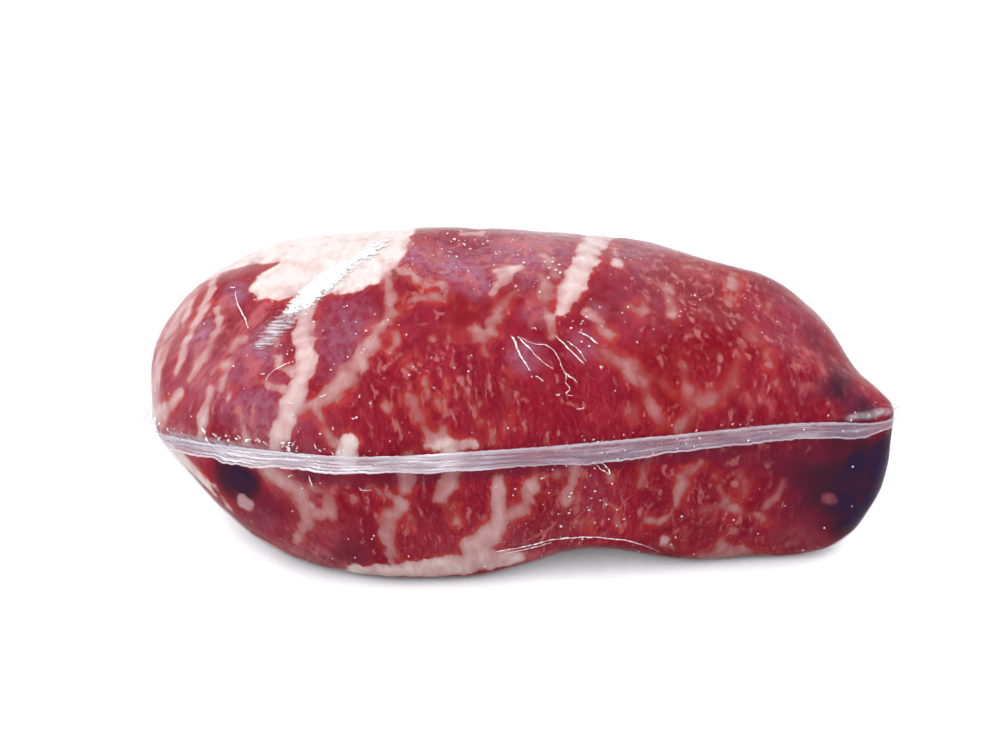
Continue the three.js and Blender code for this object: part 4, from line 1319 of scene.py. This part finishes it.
def cad_fin_lines():
    """The root and tip lines of the CAD fin, every FIN_STEP along, and how far along each point is."""
    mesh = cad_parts["film_seam"].data
    ends = vertex_array(mesh)[[list(e.vertices) for e in mesh.edges]]
    middle = (ends.reshape(-1, 3).min(axis=0) + ends.reshape(-1, 3).max(axis=0)) / 2
    roots, tips = [], []
    for turn in np.linspace(0, 2 * math.pi, FIN_TURNS, endpoint=False):
        outward = np.array([math.cos(turn), math.sin(turn), 0.0])
        side = np.array([-outward[1], outward[0], 0.0])
        before, after = (ends[:, 0] - middle) @ side, (ends[:, 1] - middle) @ side
        cut = (before * after < 0) & ((ends.mean(axis=1) - middle) @ outward > 0)
        share = before[cut] / (before[cut] - after[cut])
        points = ends[cut, 0] + (ends[cut, 1] - ends[cut, 0]) * share[:, None]
        reach = (points - middle) @ outward
        span = reach.max() - reach.min()
        roots.append(points[reach < reach.min() + FIN_ENDS * span].mean(axis=0))
        tips.append(points[reach > reach.max() - FIN_ENDS * span].mean(axis=0))
    roots, tips = np.array(roots), np.array(tips)
    steps = np.linalg.norm(np.roll(tips, -1, axis=0) - tips, axis=1)
    along = np.concatenate([[0], np.cumsum(steps)])
    stations = np.linspace(0, along[-1], round(along[-1] / MM / FIN_STEP), endpoint=False)

    def evenly(line):
        closed = np.vstack([line, line[:1]])
        return np.stack([np.interp(stations, along, closed[:, k]) for k in range(3)], axis=1)

    return evenly(roots), evenly(tips), stations


def fin_bulge(across):
    """Half the fin's thickness at a share of its width, in millimetres."""
    return FIN_WALL + sum(h * math.exp(-(((across - at) / w) ** 2)) for at, h, w in FIN_RIBS)


def fin_section():
    """The points round a section of the fin: the share of the width, and the upper or lower side."""
    width = 1 + FIN_INWARDS
    upper = [(-FIN_INWARDS + width * k / (FIN_COLUMNS - 1), 1) for k in range(FIN_COLUMNS)]
    return upper + [(across, -1) for across, _ in reversed(upper)]


def fin_surface(lines):
    """The fin's vertices, and for each how far along and across it lies."""
    roots, tips, stations = lines
    along = np.roll(roots, -1, axis=0) - np.roll(roots, 1, axis=0)
    blade = tips - roots
    face = np.cross(blade, along)
    face /= np.linalg.norm(face, axis=1)[:, None]
    face *= np.where(face[:, 2:3] < 0, -1, 1)
    (broad_trim, broad), (fine_trim, fine) = FIN_TRIM
    (wave, long), (ripple, short) = FIN_SWAY
    vertices, places = [], []
    for i, station in enumerate(stations):
        key = Vector(roots[i])
        trim = 1 + broad_trim * noise.noise(key / (broad * MM)) + fine_trim * noise.noise(key / (fine * MM))
        for across, side in fin_section():
            point = roots[i] + blade[i] * across * trim
            sway = wave * across * noise.noise(key / (long * MM))
            sway += ripple * noise.noise(Vector(point) / (short * MM))
            vertices.append(point + face[i] * (side * fin_bulge(across) + sway) * MM)
            places.append((station / MM, across))
    return vertices, places


def ring_faces(sections, wide):
    """Faces between closed sections of so many points, right round."""
    faces = []
    for i in range(sections):
        j = (i + 1) % sections
        for k in range(wide):
            m = (k + 1) % wide
            faces.append((i * wide + k, j * wide + k, j * wide + m, i * wide + m))
    return faces


def welded_film():
    """Two sheets of shrink film sealed by a hot jaw. The heat leaves it slightly milky, with lengthwise
    draw lines and beaded edges, along which a white highlight is painted."""
    material, tree, output = new_material("welded_film")
    uv = node(tree, "ShaderNodeUVMap", uv_map="along_and_across").outputs[0]

    def drawn(along, across):
        """Unit cells along by across, in millimetres of length and shares of the width."""
        feeds = {0: uv, 1: (1 / along, 1 / across, 1)}
        return node(tree, "ShaderNodeVectorMath", feeds, operation="MULTIPLY").outputs[0]

    across = node(tree, "ShaderNodeSeparateXYZ", {0: uv}).outputs[1]
    lines = step(tree, "cloud", drawn(14, 0.1), 2.0)
    patches = step(tree, "cloud", drawn(7, 0.8), 2.0)
    crimps = step(tree, "cloud", drawn(0.7, 0.35), 1.0)
    milkiness = field(tree, "milkiness")
    edge = step(tree, "+ to 1", step(tree, "ease", across, 0.1, 0.03), step(tree, "ease", across, 0.94, 0.99))
    streaks = step(tree, "ease", lines, 0.42, 0.66)
    streaks = step(tree, "*", streaks, step(tree, "ease", patches, 0.36, 0.56, 0.4, 1.0))
    milk = step(tree, "*", step(tree, "+", step(tree, "*", streaks, 0.5), 0.28), milkiness)
    milk = step(tree, "+", milk, 0.03)
    cover = step(tree, "+ to 1", milk, step(tree, "*", edge, 0.22))
    # A painted highlight along the edges and the brighter draw lines.
    glint = step(tree, "*", step(tree, "ease", lines, 0.5, 0.66), milkiness)
    glint = step(tree, "max", step(tree, "*", edge, 0.7), glint)
    body = step(tree, "mix", step(tree, "ease", milkiness, 0.4, 1.0), WELD_BODY, WELD_MILKY)
    tint = step(tree, "mix", glint, body, WELD_GLINT)
    height = step(tree, "+", lines, step(tree, "*", crimps, 0.5))
    bump = node(tree, "ShaderNodeBump", {"Strength": 0.7, "Distance": 0.3 * MM, "Height": height}).outputs[0]
    milky = node(tree, "ShaderNodeBsdfPrincipled", {"Base Color": tint, "Roughness": 0.2, "Normal": bump})
    see_through(tree, output, cover, milky.outputs[0], WELD_GLOSS, 0.1, bump)
    return material


def facing_out(mesh):
    """Turns every face of a closed mesh outwards."""
    shape = bmesh.new()
    shape.from_mesh(mesh)
    bmesh.ops.recalc_face_normals(shape, faces=shape.faces)
    shape.to_mesh(mesh)
    shape.free()


def make_fin(lines):
    """The weld fin: a ribbed blade of two films sealed together, crimped and trimmed a little unevenly."""
    vertices, places = fin_surface(lines)
    faces = ring_faces(len(lines[2]), len(fin_section()))
    mesh = bpy.data.meshes.new("film_fin")
    mesh.from_pydata([tuple(v) for v in vertices], [], faces)
    layer = mesh.uv_layers.new(name="along_and_across")
    for loop in mesh.loops:
        layer.data[loop.index].uv = places[loop.vertex_index]
    facing_out(mesh)
    add_field(mesh, "crowding", np.ones(len(vertices)))
    x = vertex_array(mesh)[:, 0] / MM
    milky = smooth((FIN_MILKY[1] - x) / FIN_MILKY_FADES[1]) * smooth((x - FIN_MILKY[0]) / FIN_MILKY_FADES[0])
    add_field(mesh, "milkiness", FIN_CLEAR + (1 - FIN_CLEAR) * milky)
    piece = new_piece("film_fin", mesh, welded_film())
    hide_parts("film_seam")
    return piece


# ---- putting it together ---------------------------------------------------------------------------

camera = make_camera()
sight = Sight(camera, even_skin(*SIGHT_MESH))
light_the_table(sight)
make_floor()
make_beef(sight)
film = make_film_skin(sight)
make_lifted_film(sight, film)
weld = cad_fin_lines()
fin = make_fin(weld)
# The white of the folds, drops, gathers and bubbles is a painted highlight.
folded = film_fold_painted_glint()
make_creases(sight, folded)
make_bubbles(film, fin, folded)
make_gathers(sight, weld, folded)
